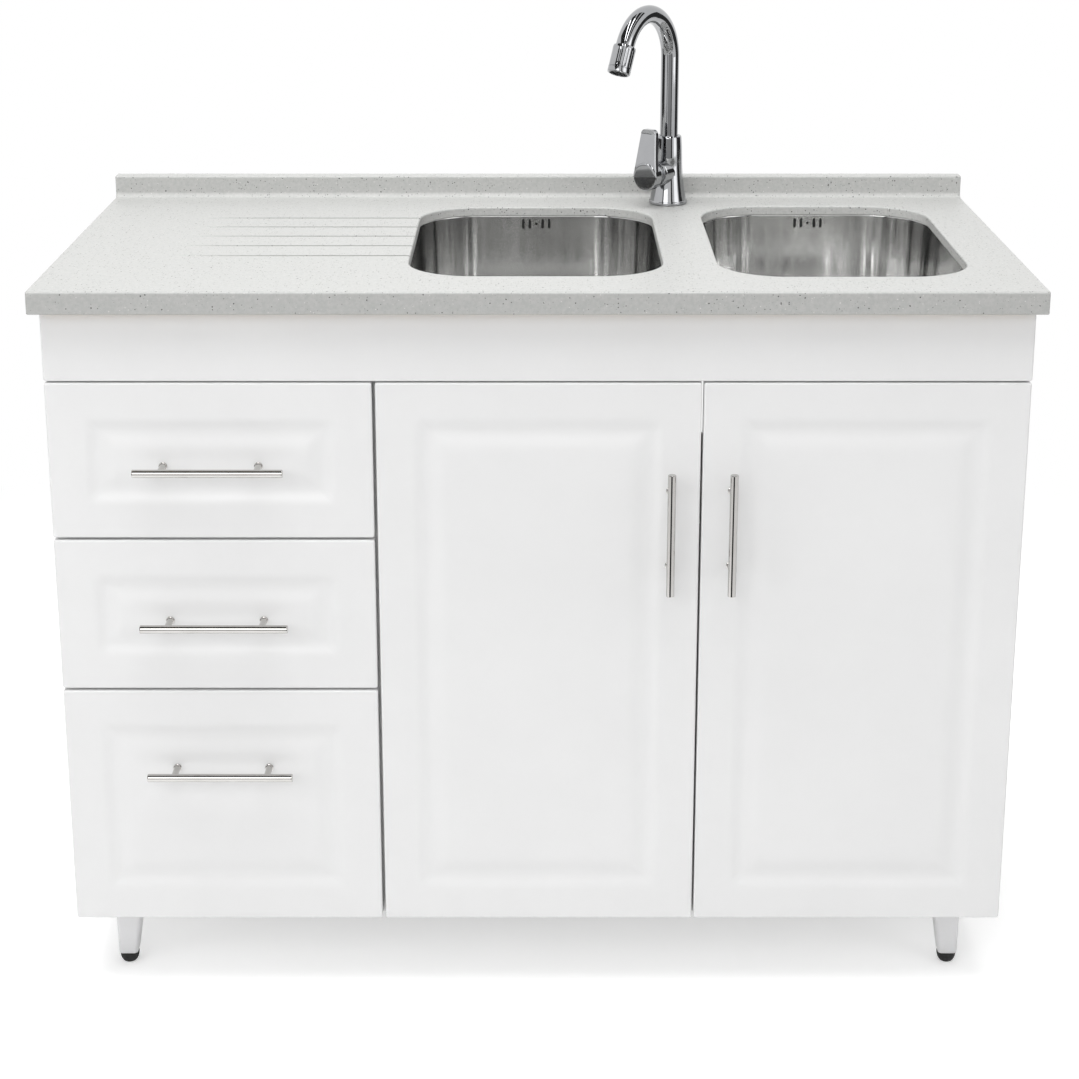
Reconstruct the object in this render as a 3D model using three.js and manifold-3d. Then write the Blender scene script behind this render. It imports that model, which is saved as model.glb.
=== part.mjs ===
// Kitchen sink unit: a cabinet on four legs with three drawers and two doors, under a stone worktop
// that has a drainer, two undermount bowls and a single-lever tap. Millimetres, +Z up, front at -Y.
// The origin is on the floor, under the middle of the unit's outer box.
import * as THREE from "three";
import { mergeVertices } from "three/addons/utils/BufferGeometryUtils.js";
import Module from "manifold-3d";

const wasm = await Module();
wasm.setup();

// ---------------------------------------------------------------- driving dimensions

const seatGap = 0.3; // between two pieces that rest on or against each other
const runningGap = 0.5; // between two pieces that turn in each other

// Worktop
const worktopWidth = 1200;
const worktopDepth = 600;
const slabThickness = 12;
const edgeHeight = 28; // height of the built-up edge
const edgeThickness = 12;
const edgeRadius = 3;
const upstandHeight = 30;
const upstandThickness = 20;
const coveRadius = 7; // where the upstand meets the top
const worktopOverhang = 22; // beyond the faces of the fronts
const sideOverhang = 10; // beyond each side of the cabinet
const reveal = 2; // dark line between the worktop's edge and the cabinet

// Drainer grooves
const grooveCount = 5;
const groovePitch = 58.6;
const grooveRadius = 5;
const grooveStartDepth = 0.6;
const grooveEndDepth = 2.6;
const grooveFromSide = 150; // start of the grooves, from the worktop's left end
const grooveFromWall = 171; // rear groove, from the worktop's back edge

// Bowls. They share the room over the cupboard. `front` and `behind` are the stone left before
// and behind each one.
const bowlWall = 1.5;
const bowlCornerRadius = 80;
const bowlFloorRadius = 30;
const bowlDraft = 4; // how far the walls lean in on the way down
const bowlFlange = 13;
const bowlReveal = 1; // how far the slab covers the bowl's mouth
const leftBowlSize = { name: "left", front: 83, behind: 95, depth: 176 };
const rightBowlSize = { name: "right", front: 80, behind: 88, depth: 142 };
const leftBowlShare = 0.5056; // of the two bowls' width together
const leftBowlClearance = 28.75; // from the cupboard's left wall
const bowlRib = 67; // stone between the bowls
const rightBowlFromSide = 70; // stone to the right of the right bowl
const underlayMargin = 2; // round the bowls' flanges
const overflowSlots = 4;
const overflowPitch = 9;
const overflowWidth = 3.4;
const overflowHeight = 13;
const overflowDrop = 5; // under the bowl's rim
const overflowEndFlat = 0.2; // left between the round ends' arcs

// Wastes and trap
const wasteHole = 89;
const wasteRecess = 114;
const wasteRecessDepth = 3;
const wasteFlangeThickness = 1.6;
const wasteFlangeChamfer = 1;
const wasteCupDepth = 52;
const wasteWall = 4;
const wasteNutDiameter = 108;
const wasteNutHeight = 9;
const wasteTailDiameter = 40;
const wasteTailLength = 24;
const strainerDrop = 14; // strainer plate, under the flange
const strainerThickness = 2.5;
const strainerHole = 9;
const strainerHoles = 6; // in the outer ring, and half as many in the inner one
const pipeDiameter = 40;
const pipeWall = 3;
const pipeBend = 32;
const collectorDrop = 35; // middle of the level pipe, under the lower waste's end
const trapDiameter = 84;
const trapHeight = 150;
const trapCapHeight = 26;
const trapRise = 30; // top of the bottle above the middle of the level pipe
const trapStep = 6; // the bottle is this much slimmer than its cap all round
const trapShoulder = 10; // height and width of the slope round its top
const trapFootChamfer = 5;
const outletDrop = 52; // outlet pipe, under the level pipe
const unionNutDiameter = 56;
const unionNutHeight = 20;

// Tap
const tapFromRib = 6.5; // left of the middle of the rib between the bowls
const tapFromWall = 64;
const tapBaseDiameter = 52;
const tapBaseRim = 4;
const tapWaistDiameter = 37;
const tapWaistHeight = 66;
const tapNeckDiameter = 34;
const tapBodyHeight = 96;
const tapShankDiameter = 32;
const tapShankLength = 52;
const tapHoleDiameter = 35;
const tapNutDiameter = 44;
const tapNutHeight = 12;
const spoutDiameter = 25;
const spoutSocketDepth = 22;
const spoutRiser = 204; // top of the straight part above the worktop
const spoutBend = 64;
const spoutTurn = 155; // degrees
const spoutHeading = 33; // degrees left of straight ahead
const nozzleLength = 38;
const nozzleDiameter = 31;
const nozzleSocketDepth = 16;
const nozzleWall = 2.5;
const nozzleMouthDepth = 5;
const nozzleBand = 7; // height of the band round its mouth
const nozzleLip = 2;
const nozzleSeam = 0.6; // depth of the seam over the band
const nozzleShoulder = 3;
const valveHeight = 45; // middle of the valve barrel above the worktop
const valveHeading = 38; // degrees left of straight ahead
const barrelDiameter = 35;
const barrelReach = 33; // end of the barrel from the tap's axis
const domeDiameter = 30;
const domeCentre = 37;
const leverCapDiameter = 37;
const leverCapFront = 58;
const leverRearReach = 6; // rear rim in front of the dome's middle, so that the cap can tilt
const leverHeight = 65; // top of the lever above the barrel's axis
const leverTopWidth = 23;
const leverThickness = 8;
const leverBevel = 1;

// Cabinet
const boardThickness = 16;
const carcassHeight = 800;
const carcassFromWall = 18.5; // room for pipes behind the cabinet
const bumperGap = 1.5; // between the fronts and the cabinet
const backThickness = 4;
const railHeight = 100;
const serviceHoleWidth = 300;
const serviceHoleHeight = 220;
const serviceHoleDrop = 210; // top of the service hole, under the cabinet's top
const fasciaHeight = 84;
const frontThickness = 18;
const frontBottomGap = 1; // fronts above the cabinet's bottom edge
const frontGap = 3;
const columnGap = 4; // between the drawers and the left door
const doorGap = 2.5; // between the two doors
const edgeSetback = 0.25; // of the fronts from the cabinet's sides

// Raised-panel fronts
const frameWidth = 50;
const grooveStep = 4; // width of the step down from the frame
const panelGrooveDepth = 4.5;
const panelBevel = 30; // width of the slope up to the raised field
const panelFieldSetback = 0.4;
const frontEdgeRadius = 2.5;

// Drawers
const upperFrontHeight = 196;
const middleFrontHeight = 195; // the lower drawer's front takes what is left
const shallowSideHeight = 86;
const deepSideHeight = 150;
const drawerRearClearance = 41.2; // from the drawers' backs to the cabinet's back edge
const drawerLift = 30; // of the box above the front's lower edge
const sideZone = 13; // from the inside of a drawer side to the cabinet
const steelThickness = 1.5;
const sideFlange = 14; // that carries the drawer's bottom board
const sideHem = 10;
const sideHemDrop = 9;
const slideHeight = 34; // top of the drawer's slide, above its lower edge
const slideReach = 10;
const railLower = 12; // lower edge of the cabinet rail, above the drawer's lower edge
const railUpper = 44;
const railReach = 9;
const drawerBoard = 16;
const drawerBackDrop = 4; // of the back board below the top of the sides

// Handles
const barDiameter = 10;
const postDiameter = 8;
const handleProjection = 35;
const drawerBarLength = 180;
const drawerPostSpacing = 115;
const doorBarLength = 155;
const doorPostSpacing = 96;
const doorHandleInset = 36; // from the doors' meeting edges
const doorHandleDrop = 183; // middle of the handle under the door's top
const drawerHandleDrop = 104; // under each drawer front's top

// Hinges
const hingeCupBore = 29;
const hingeWellDepth = 10.5;
const hingeCupFromEdge = 22;
const hingeFlangeWidth = 22;
const hingeFlangeHeight = 62;
const hingeFlangeThickness = 0.9;
const hingeFromEnd = 96; // middle of each hinge from the door's top or bottom
const hingeArmHeight = 16;
const hingeArmLength = 64;
const hingePlateThickness = 3;
const hingePlateLength = 34;
const hingePlateHeight = 48;
const hingeArmThickness = 11;
const hingeNeckDepth = 6; // behind the cabinet's front edge
const hingeTongueNear = 21; // tongue, from the door's edge
const hingeTongueFar = 31;

// Legs and feet
const legTopWidth = 37;
const legBottomWidth = 25;
const legCornerRadius = 5;
const legInset = 38; // outer side of each leg from the cabinet's side
const legFromFront = 34;
const legFromBack = 34;
const footHeight = 15;
const legHeight = 100; // with its foot
const footDiameter = 25;
const footBaseDiameter = 17;

// ---------------------------------------------------------------- places worked out from them

const overallDepth = worktopDepth + Math.max(0, handleProjection - worktopOverhang);
const wallY = overallDepth / 2;
const worktopFrontY = wallY - worktopDepth;
const frontFaceY = worktopFrontY + worktopOverhang;
const frontBackY = frontFaceY + frontThickness;
const carcassFrontY = frontBackY + bumperGap;
const carcassBackY = wallY - carcassFromWall;
const carcassBottom = legHeight;
const carcassTop = carcassBottom + carcassHeight;
const edgeBottom = carcassTop + reveal;
const worktopTop = edgeBottom + edgeHeight;
const slabBottom = worktopTop - slabThickness;
const cabinetWidth = worktopWidth - 2 * sideOverhang;
const cabinetLeft = -cabinetWidth / 2;
const cabinetRight = cabinetWidth / 2;
const innerLeft = cabinetLeft + boardThickness;
const innerRight = cabinetRight - boardThickness;
const shelfTop = carcassBottom + boardThickness; // top of the bottom board
const railFrontY = carcassBackY - boardThickness;
const backPanelY = railFrontY - seatGap - backThickness;
const frontWidth = (cabinetWidth - 2 * edgeSetback - columnGap - doorGap) / 3;
const drawerFrontLeft = cabinetLeft + edgeSetback;
const drawerFrontRight = drawerFrontLeft + frontWidth;
const leftDoorEdge = drawerFrontRight + columnGap;
const rightDoorEdge = cabinetRight - edgeSetback;
const partitionX = drawerFrontRight + columnGap / 2;
const partitionLeft = partitionX - boardThickness / 2;
const partitionRight = partitionX + boardThickness / 2;
const frontBottom = carcassBottom + frontBottomGap;
const fasciaBottom = carcassTop - fasciaHeight;
const frontTop = fasciaBottom - frontGap;
const lowerFrontHeight = frontTop - frontBottom - upperFrontHeight - middleFrontHeight - 2 * frontGap;
const drawerStart = frontBackY + seatGap;
const drawerEnd = carcassBackY - drawerRearClearance;
const bowlRim = slabBottom - seatGap;
const leftBowlEdge = partitionRight + leftBowlClearance;
const rightBowlEdge = worktopWidth / 2 - rightBowlFromSide;
const bowlWidths = rightBowlEdge - leftBowlEdge - bowlRib;
const leftBowl = placedBowl(leftBowlSize, leftBowlEdge, bowlWidths * leftBowlShare);
const rightBowlWidth = bowlWidths - leftBowl.width;
const rightBowl = placedBowl(rightBowlSize, rightBowlEdge - rightBowlWidth, rightBowlWidth);
const grooveLength = leftBowlEdge + worktopWidth / 2 - grooveFromSide;
const tapX = rightBowlEdge - rightBowlWidth - bowlRib / 2 - tapFromRib;
const tapY = wallY - tapFromWall;

// From the bottom up.
const drawerSpecs = [
  { name: "lower", front: lowerFrontHeight, side: deepSideHeight },
  { name: "middle", front: middleFrontHeight, side: shallowSideHeight },
  { name: "upper", front: upperFrontHeight, side: shallowSideHeight },
];

// A bowl with its left edge at x and with the distances of its front and back edges from the
// worktop's front edge.
function placedBowl(size, x, width) {
  return { ...size, width, centreX: x + width / 2, back: worktopDepth - size.behind };
}

// ---------------------------------------------------------------- solids

const cornerSteps = 6; // facets in each corner of a bowl and of its cut-out
const outlineSteps = cornerSteps / 2; // what a shape needs to give an arc as many
const turnedFacets = 24; // round the tap's body and the wastes
const smallTurnedFacets = 20;
const edgeSegments = 4; // in each rounded edge of the worktop
const barFacets = 16; // round handles, cups, feet and the nozzle
const pipeFacets = 12;
const strainerFacets = 6;
const spoutSteps = 26; // along the spout
const pipeSteps = 14; // along a bent pipe
const radians = THREE.MathUtils.degToRad;

function merged(geometry) {
  const plain = geometry.clone();
  plain.deleteAttribute("normal");
  plain.deleteAttribute("uv");
  return mergeVertices(plain, 1e-4);
}

function solidOf(geometry) {
  const mesh = merged(geometry);
  const vertProperties = new Float32Array(mesh.attributes.position.array);
  const triVerts = new Uint32Array(mesh.index.array);
  return new wasm.Manifold(new wasm.Mesh({ numProp: 3, vertProperties, triVerts }));
}

function geometryOf(solid) {
  const mesh = solid.getMesh();
  const geometry = new THREE.BufferGeometry();
  geometry.setAttribute("position", new THREE.BufferAttribute(new Float32Array(mesh.vertProperties), 3));
  geometry.setIndex(new THREE.BufferAttribute(new Uint32Array(mesh.triVerts), 1));
  return geometry;
}

function joined(...geometries) {
  const solids = geometries.map(solidOf);
  return geometryOf(solids.reduce((sum, next) => sum.add(next)));
}

function cut(geometry, ...tools) {
  const solids = tools.map(solidOf);
  return geometryOf(solids.reduce((rest, tool) => rest.subtract(tool), solidOf(geometry)));
}

// A box between two values on each axis.
function block(x0, x1, y0, y1, z0, z1) {
  const box = new THREE.BoxGeometry(x1 - x0, y1 - y0, z1 - z0);
  return box.translate((x0 + x1) / 2, (y0 + y1) / 2, (z0 + z1) / 2);
}

// Straight prisms. The outline holds (x, y), (x, z) or (y, z), in that order.
function prismZ(shape, z0, z1, curveSegments = 8) {
  const geometry = new THREE.ExtrudeGeometry(shape, { depth: z1 - z0, bevelEnabled: false, curveSegments });
  return geometry.translate(0, 0, z0);
}

function prismY(shape, y0, y1, curveSegments = 8) {
  const geometry = new THREE.ExtrudeGeometry(shape, { depth: y1 - y0, bevelEnabled: false, curveSegments });
  return geometry.rotateX(Math.PI / 2).translate(0, y1, 0);
}

function prismX(shape, x0, x1, curveSegments = 8) {
  const geometry = new THREE.ExtrudeGeometry(shape, { depth: x1 - x0, bevelEnabled: false, curveSegments });
  const turn = new THREE.Matrix4().makeBasis(
    new THREE.Vector3(0, 1, 0),
    new THREE.Vector3(0, 0, 1),
    new THREE.Vector3(1, 0, 0),
  );
  return geometry.applyMatrix4(turn).translate(x0, 0, 0);
}

function roundedRectangle(x0, x1, y0, y1, radius) {
  const shape = new THREE.Shape();
  shape.moveTo(x0 + radius, y0);
  shape.lineTo(x1 - radius, y0);
  shape.absarc(x1 - radius, y0 + radius, radius, -Math.PI / 2, 0);
  shape.absarc(x1 - radius, y1 - radius, radius, 0, Math.PI / 2);
  shape.absarc(x0 + radius, y1 - radius, radius, Math.PI / 2, Math.PI);
  shape.absarc(x0 + radius, y0 + radius, radius, Math.PI, Math.PI * 1.5);
  return shape;
}

function polygon(points) {
  return new THREE.Shape(points.map(([u, v]) => new THREE.Vector2(u, v)));
}

// A solid of revolution about the Z axis, from [radius, height] pairs that go up the outside.
function revolved(profile, segments = turnedFacets) {
  const points = profile.map(([radius, height]) => new THREE.Vector2(radius, height));
  const geometry = new THREE.LatheGeometry(points, segments);
  return geometry.rotateX(Math.PI / 2);
}

// A skin over rings of equal length, closed at both ends. Each ring runs anticlockwise as seen
// from the last ring.
function lofted(rings) {
  const count = rings[0].length;
  const position = rings.flat().flatMap((point) => [point.x, point.y, point.z]);
  const index = [];
  for (let ring = 0; ring < rings.length - 1; ring += 1) {
    for (let i = 0; i < count; i += 1) {
      const a = ring * count + i;
      const b = ring * count + ((i + 1) % count);
      index.push(a, b, b + count, a, b + count, a + count);
    }
  }
  const last = (rings.length - 1) * count;
  for (let i = 1; i < count - 1; i += 1) {
    index.push(0, i + 1, i);
    index.push(last, last + i, last + i + 1);
  }
  const geometry = new THREE.BufferGeometry();
  geometry.setAttribute("position", new THREE.Float32BufferAttribute(position, 3));
  geometry.setIndex(index);
  return geometry;
}

// ---------------------------------------------------------------- materials and meshes

const finishes = {
  quartz: { color: 0xdcdcda, roughness: 0.35, metalness: 0 },
  chipboard: { color: 0xc9b38c, roughness: 0.9, metalness: 0 },
  melamine: { color: 0xf2f2f0, roughness: 0.55, metalness: 0 },
  hardboard: { color: 0xe6e4df, roughness: 0.7, metalness: 0 },
  satinWhite: { color: 0xeeeeee, roughness: 0.45, metalness: 0 },
  brushedSteel: { color: 0xb9bbbd, roughness: 0.35, metalness: 1 },
  chrome: { color: 0xd8dadd, roughness: 0.06, metalness: 1 },
  brass: { color: 0xb99a55, roughness: 0.35, metalness: 1 },
  zincSteel: { color: 0xc6c8ca, roughness: 0.4, metalness: 1 },
  drawerSteel: { color: 0xe4e4e4, roughness: 0.45, metalness: 0.2 },
  whitePlastic: { color: 0xf0f0ee, roughness: 0.5, metalness: 0 },
  legPlastic: { color: 0xe6e8ea, roughness: 0.45, metalness: 0 },
  blackRubber: { color: 0x151515, roughness: 0.8, metalness: 0 },
};

function piece(name, geometry, finish) {
  const facets = geometry.index ? geometry.toNonIndexed() : geometry.clone();
  facets.computeVertexNormals();
  const mesh = new THREE.Mesh(facets, new THREE.MeshStandardMaterial(finishes[finish]));
  mesh.name = name;
  return mesh;
}

// ---------------------------------------------------------------- cabinet boards

function sidePanel(name, x0) {
  const board = block(x0, x0 + boardThickness, carcassFrontY, carcassBackY, carcassBottom, carcassTop);
  return piece(name, board, "melamine");
}

function partitionPanel() {
  const board = block(
    partitionLeft, partitionRight, carcassFrontY, backPanelY - seatGap, shelfTop + seatGap, carcassTop,
  );
  return piece("partition_panel", board, "melamine");
}

function bottomPanel() {
  const board = block(
    innerLeft + seatGap, innerRight - seatGap, carcassFrontY, carcassBackY, carcassBottom, shelfTop,
  );
  return piece("bottom_panel", board, "melamine");
}

function rearRail() {
  const board = block(
    innerLeft + seatGap, innerRight - seatGap, railFrontY, carcassBackY, carcassTop - railHeight, carcassTop,
  );
  return piece("rear_rail", board, "melamine");
}

function backPanel() {
  const top = carcassTop - serviceHoleDrop;
  const middle = (partitionRight + innerRight) / 2;
  const board = block(
    innerLeft + seatGap, innerRight - seatGap,
    backPanelY, backPanelY + backThickness,
    shelfTop + seatGap, carcassTop,
  );
  const hole = block(
    middle - serviceHoleWidth / 2, middle + serviceHoleWidth / 2,
    backPanelY - backThickness, backPanelY + 2 * backThickness,
    top - serviceHoleHeight, top,
  );
  return piece("back_panel", cut(board, hole), "hardboard");
}

// ---------------------------------------------------------------- fronts

function faceRing(x0, x1, z0, z1, inset, y) {
  return [
    new THREE.Vector3(x0 + inset, y, z0 + inset),
    new THREE.Vector3(x1 - inset, y, z0 + inset),
    new THREE.Vector3(x1 - inset, y, z1 - inset),
    new THREE.Vector3(x0 + inset, y, z1 - inset),
  ];
}

// The rounded front edge of a board, as rings from its back at `backY` to its face.
function edgeRings(x0, x1, z0, z1, backY) {
  const steps = 3;
  const rings = [faceRing(x0, x1, z0, z1, 0, backY)];
  for (let step = 0; step <= steps; step += 1) {
    const angle = (Math.PI / 2) * (step / steps);
    const inset = frontEdgeRadius * (1 - Math.cos(angle));
    const y = frontFaceY + frontEdgeRadius * (1 - Math.sin(angle));
    rings.push(faceRing(x0, x1, z0, z1, inset, y));
  }
  return rings;
}

// A board with a routed frame: a step down, then a slope up to the raised field.
function raisedPanel(x0, x1, z0, z1) {
  const grooveInset = frameWidth + grooveStep;
  const slope = [0, 0.35, 0.7, 1];
  const rings = edgeRings(x0, x1, z0, z1, frontBackY);
  rings.push(faceRing(x0, x1, z0, z1, frameWidth, frontFaceY));
  for (const share of slope) {
    const rise = Math.sin((Math.PI / 2) * share);
    const depth = panelGrooveDepth + (panelFieldSetback - panelGrooveDepth) * rise;
    rings.push(faceRing(x0, x1, z0, z1, grooveInset + panelBevel * share, frontFaceY + depth));
  }
  return lofted(rings);
}

// The fascia is screwed straight to the cabinet, so it is thicker by the gap that the doors keep.
function fasciaBoard() {
  const rings = edgeRings(cabinetLeft, cabinetRight, fasciaBottom, carcassTop, carcassFrontY - seatGap);
  return piece("fascia_board", lofted(rings), "satinWhite");
}

// A bar on two posts, along X or Z, with its middle at (x, z). `seat` is how far behind the
// front's face the posts stand.
function barHandle(name, x, z, length, spacing, upright, seat) {
  const axisY = frontFaceY - handleProjection + barDiameter / 2;
  const bar = new THREE.CylinderGeometry(barDiameter / 2, barDiameter / 2, length, barFacets);
  const postLength = frontFaceY + seat - seatGap - axisY;
  const parts = [bar];
  for (const side of [-1, 1]) {
    const post = new THREE.CylinderGeometry(postDiameter / 2, postDiameter / 2, postLength, pipeFacets);
    post.rotateX(Math.PI / 2).translate(0, (side * spacing) / 2, -postLength / 2);
    parts.push(post);
  }
  const handle = joined(...parts);
  handle.rotateX(Math.PI / 2);
  if (!upright) handle.rotateY(Math.PI / 2);
  return piece(name, handle.translate(x, axisY, z), "brushedSteel");
}

// ---------------------------------------------------------------- worktop

function worktopSection() {
  const section = new THREE.Shape();
  const faceY = wallY - upstandThickness;
  const upstandTop = worktopTop + upstandHeight;
  section.moveTo(worktopFrontY, edgeBottom);
  section.lineTo(worktopFrontY + edgeThickness, edgeBottom);
  section.lineTo(worktopFrontY + edgeThickness, slabBottom);
  section.lineTo(wallY, slabBottom);
  section.lineTo(wallY, upstandTop);
  section.lineTo(faceY + edgeRadius, upstandTop);
  section.absarc(faceY + edgeRadius, upstandTop - edgeRadius, edgeRadius, Math.PI / 2, Math.PI);
  section.lineTo(faceY, worktopTop + coveRadius);
  section.absarc(faceY - coveRadius, worktopTop + coveRadius, coveRadius, 0, -Math.PI / 2, true);
  section.lineTo(worktopFrontY + edgeRadius, worktopTop);
  section.absarc(worktopFrontY + edgeRadius, worktopTop - edgeRadius, edgeRadius, Math.PI / 2, Math.PI);
  return section;
}

function sideEdge(x0) {
  const overlap = slabThickness / 2;
  return block(x0, x0 + edgeThickness, worktopFrontY + edgeRadius, wallY, edgeBottom, slabBottom + overlap);
}

function bowlOutline(bowl, grow) {
  const half = bowl.width / 2 + grow;
  return roundedRectangle(
    bowl.centreX - half, bowl.centreX + half,
    worktopFrontY + bowl.front - grow, worktopFrontY + bowl.back + grow,
    bowlCornerRadius + grow,
  );
}

// One round-bottomed groove that deepens toward the left bowl and runs out into its cut-out.
function drainerGroove(fromWall) {
  const runOut = bowlCornerRadius / 2;
  const slope = Math.atan2(grooveEndDepth - grooveStartDepth, grooveLength);
  const rod = new THREE.CylinderGeometry(grooveRadius, grooveRadius, grooveLength + runOut, barFacets);
  rod.rotateZ(Math.PI / 2).translate((grooveLength + runOut) / 2, 0, 0).rotateY(slope);
  const start = worktopTop + grooveRadius - grooveStartDepth;
  return rod.translate(leftBowlEdge - grooveLength, wallY - fromWall, start);
}

function worktop() {
  const half = worktopWidth / 2;
  const length = prismX(worktopSection(), -half, half, edgeSegments);
  const slab = joined(length, sideEdge(-half), sideEdge(half - edgeThickness));
  const below = slabBottom - slabThickness;
  const above = worktopTop + upstandHeight;
  const tools = [leftBowl, rightBowl].map((bowl) => prismZ(bowlOutline(bowl, 0), below, above, outlineSteps));
  tools.push(drum(tapHoleDiameter, below, above, tapX, tapY, smallTurnedFacets));
  for (let groove = 0; groove < grooveCount; groove += 1) {
    tools.push(drainerGroove(grooveFromWall + groove * groovePitch));
  }
  return piece("worktop", cut(slab, ...tools), "quartz");
}

function worktopUnderlay() {
  const half = worktopWidth / 2 - edgeThickness - seatGap;
  const outline = polygon([
    [-half, worktopFrontY + edgeThickness + seatGap],
    [half, worktopFrontY + edgeThickness + seatGap],
    [half, wallY],
    [-half, wallY],
  ]);
  const grow = bowlReveal + bowlFlange + underlayMargin;
  for (const bowl of [leftBowl, rightBowl]) outline.holes.push(bowlOutline(bowl, grow));
  const board = prismZ(outline, carcassTop + seatGap, slabBottom - seatGap, outlineSteps);
  const tapHole = drum(tapHoleDiameter, carcassBottom, worktopTop, tapX, tapY, smallTurnedFacets);
  return piece("worktop_underlay", cut(board, tapHole), "chipboard");
}

// ---------------------------------------------------------------- bowls and waste

function bowlRing(bowl, inset, z) {
  const grow = bowlReveal - inset;
  const half = bowl.width / 2 + grow;
  const radius = bowlCornerRadius + grow;
  const y0 = worktopFrontY + bowl.front - grow;
  const y1 = worktopFrontY + bowl.back + grow;
  const corners = [
    [bowl.centreX + half - radius, y0 + radius, -Math.PI / 2],
    [bowl.centreX + half - radius, y1 - radius, 0],
    [bowl.centreX - half + radius, y1 - radius, Math.PI / 2],
    [bowl.centreX - half + radius, y0 + radius, Math.PI],
  ];
  const ring = [];
  for (const [x, y, start] of corners) {
    for (let step = 0; step <= cornerSteps; step += 1) {
      const angle = start + (Math.PI / 2) * (step / cornerSteps);
      ring.push(new THREE.Vector3(x + radius * Math.cos(angle), y + radius * Math.sin(angle), z));
    }
  }
  return ring;
}

// The bowl as a filled form, `grow` bigger than its inside, up to the height `top`.
function bowlForm(bowl, grow, top) {
  const floor = worktopTop - bowl.depth;
  const steps = 4;
  const rings = [];
  for (let step = 0; step <= steps; step += 1) {
    const angle = (Math.PI / 2) * (step / steps);
    const inset = bowlDraft + bowlFloorRadius - (bowlFloorRadius + grow) * Math.sin(angle);
    const z = floor + bowlFloorRadius - (bowlFloorRadius + grow) * Math.cos(angle);
    rings.push(bowlRing(bowl, inset, z));
  }
  rings.push(bowlRing(bowl, -grow, bowlRim));
  if (top > bowlRim) rings.push(bowlRing(bowl, -grow, top));
  return lofted(rings);
}

function drum(diameter, z0, z1, x, y, segments = turnedFacets) {
  const cylinder = new THREE.CylinderGeometry(diameter / 2, diameter / 2, z1 - z0, segments);
  return cylinder.rotateX(Math.PI / 2).translate(x, y, (z0 + z1) / 2);
}

function bowlCentreY(bowl) {
  return worktopFrontY + (bowl.front + bowl.back) / 2;
}

function overflowCuts(bowl) {
  const wallBack = worktopFrontY + bowl.back + bowlReveal;
  const top = bowlRim - overflowDrop;
  const cuts = [];
  for (let slot = 0; slot < overflowSlots; slot += 1) {
    const side = slot < overflowSlots / 2 ? -1 : 1;
    const rank = slot < overflowSlots / 2 ? overflowSlots / 2 - slot : slot - overflowSlots / 2 + 1;
    const x = bowl.centreX + side * rank * overflowPitch;
    const outline = roundedRectangle(
      x - overflowWidth / 2, x + overflowWidth / 2, top - overflowHeight, top,
      (overflowWidth - overflowEndFlat) / 2,
    );
    cuts.push(prismY(outline, wallBack - bowlDraft, wallBack + 2 * bowlWall, 3));
  }
  const dot = new THREE.CylinderGeometry(overflowWidth / 2, overflowWidth / 2, 2 * (bowlDraft + bowlWall), 8);
  cuts.push(dot.translate(bowl.centreX, wallBack, top - overflowHeight / 2));
  return cuts;
}

function pressedBowl(bowl) {
  const floor = worktopTop - bowl.depth;
  const x = bowl.centreX;
  const y = bowlCentreY(bowl);
  const recessFloor = floor - wasteRecessDepth;
  const lift = 2 * slabThickness;
  const outer = bowlForm(bowl, bowlWall, bowlRim);
  const flangeOutline = bowlOutline(bowl, bowlReveal + bowlFlange);
  const flange = prismZ(flangeOutline, bowlRim - bowlWall, bowlRim, outlineSteps);
  const recess = drum(wasteRecess + 2 * bowlWall, recessFloor - bowlWall, floor, x, y);
  const body = joined(outer, flange, recess);
  const cuts = [
    bowlForm(bowl, 0, bowlRim + lift),
    drum(wasteRecess, recessFloor, floor + bowlWall, x, y),
    drum(wasteHole, recessFloor - 2 * bowlWall, floor, x, y),
    ...overflowCuts(bowl),
  ];
  return piece("bowl_" + bowl.name, cut(body, ...cuts), "brushedSteel");
}

// Heights of a waste fitting: its seat in the bowl and its lower end.
function wasteSeat(bowl) {
  return worktopTop - bowl.depth - wasteRecessDepth;
}

function wasteEnd(bowl) {
  return wasteSeat(bowl) - wasteCupDepth - wasteTailLength;
}

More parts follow.
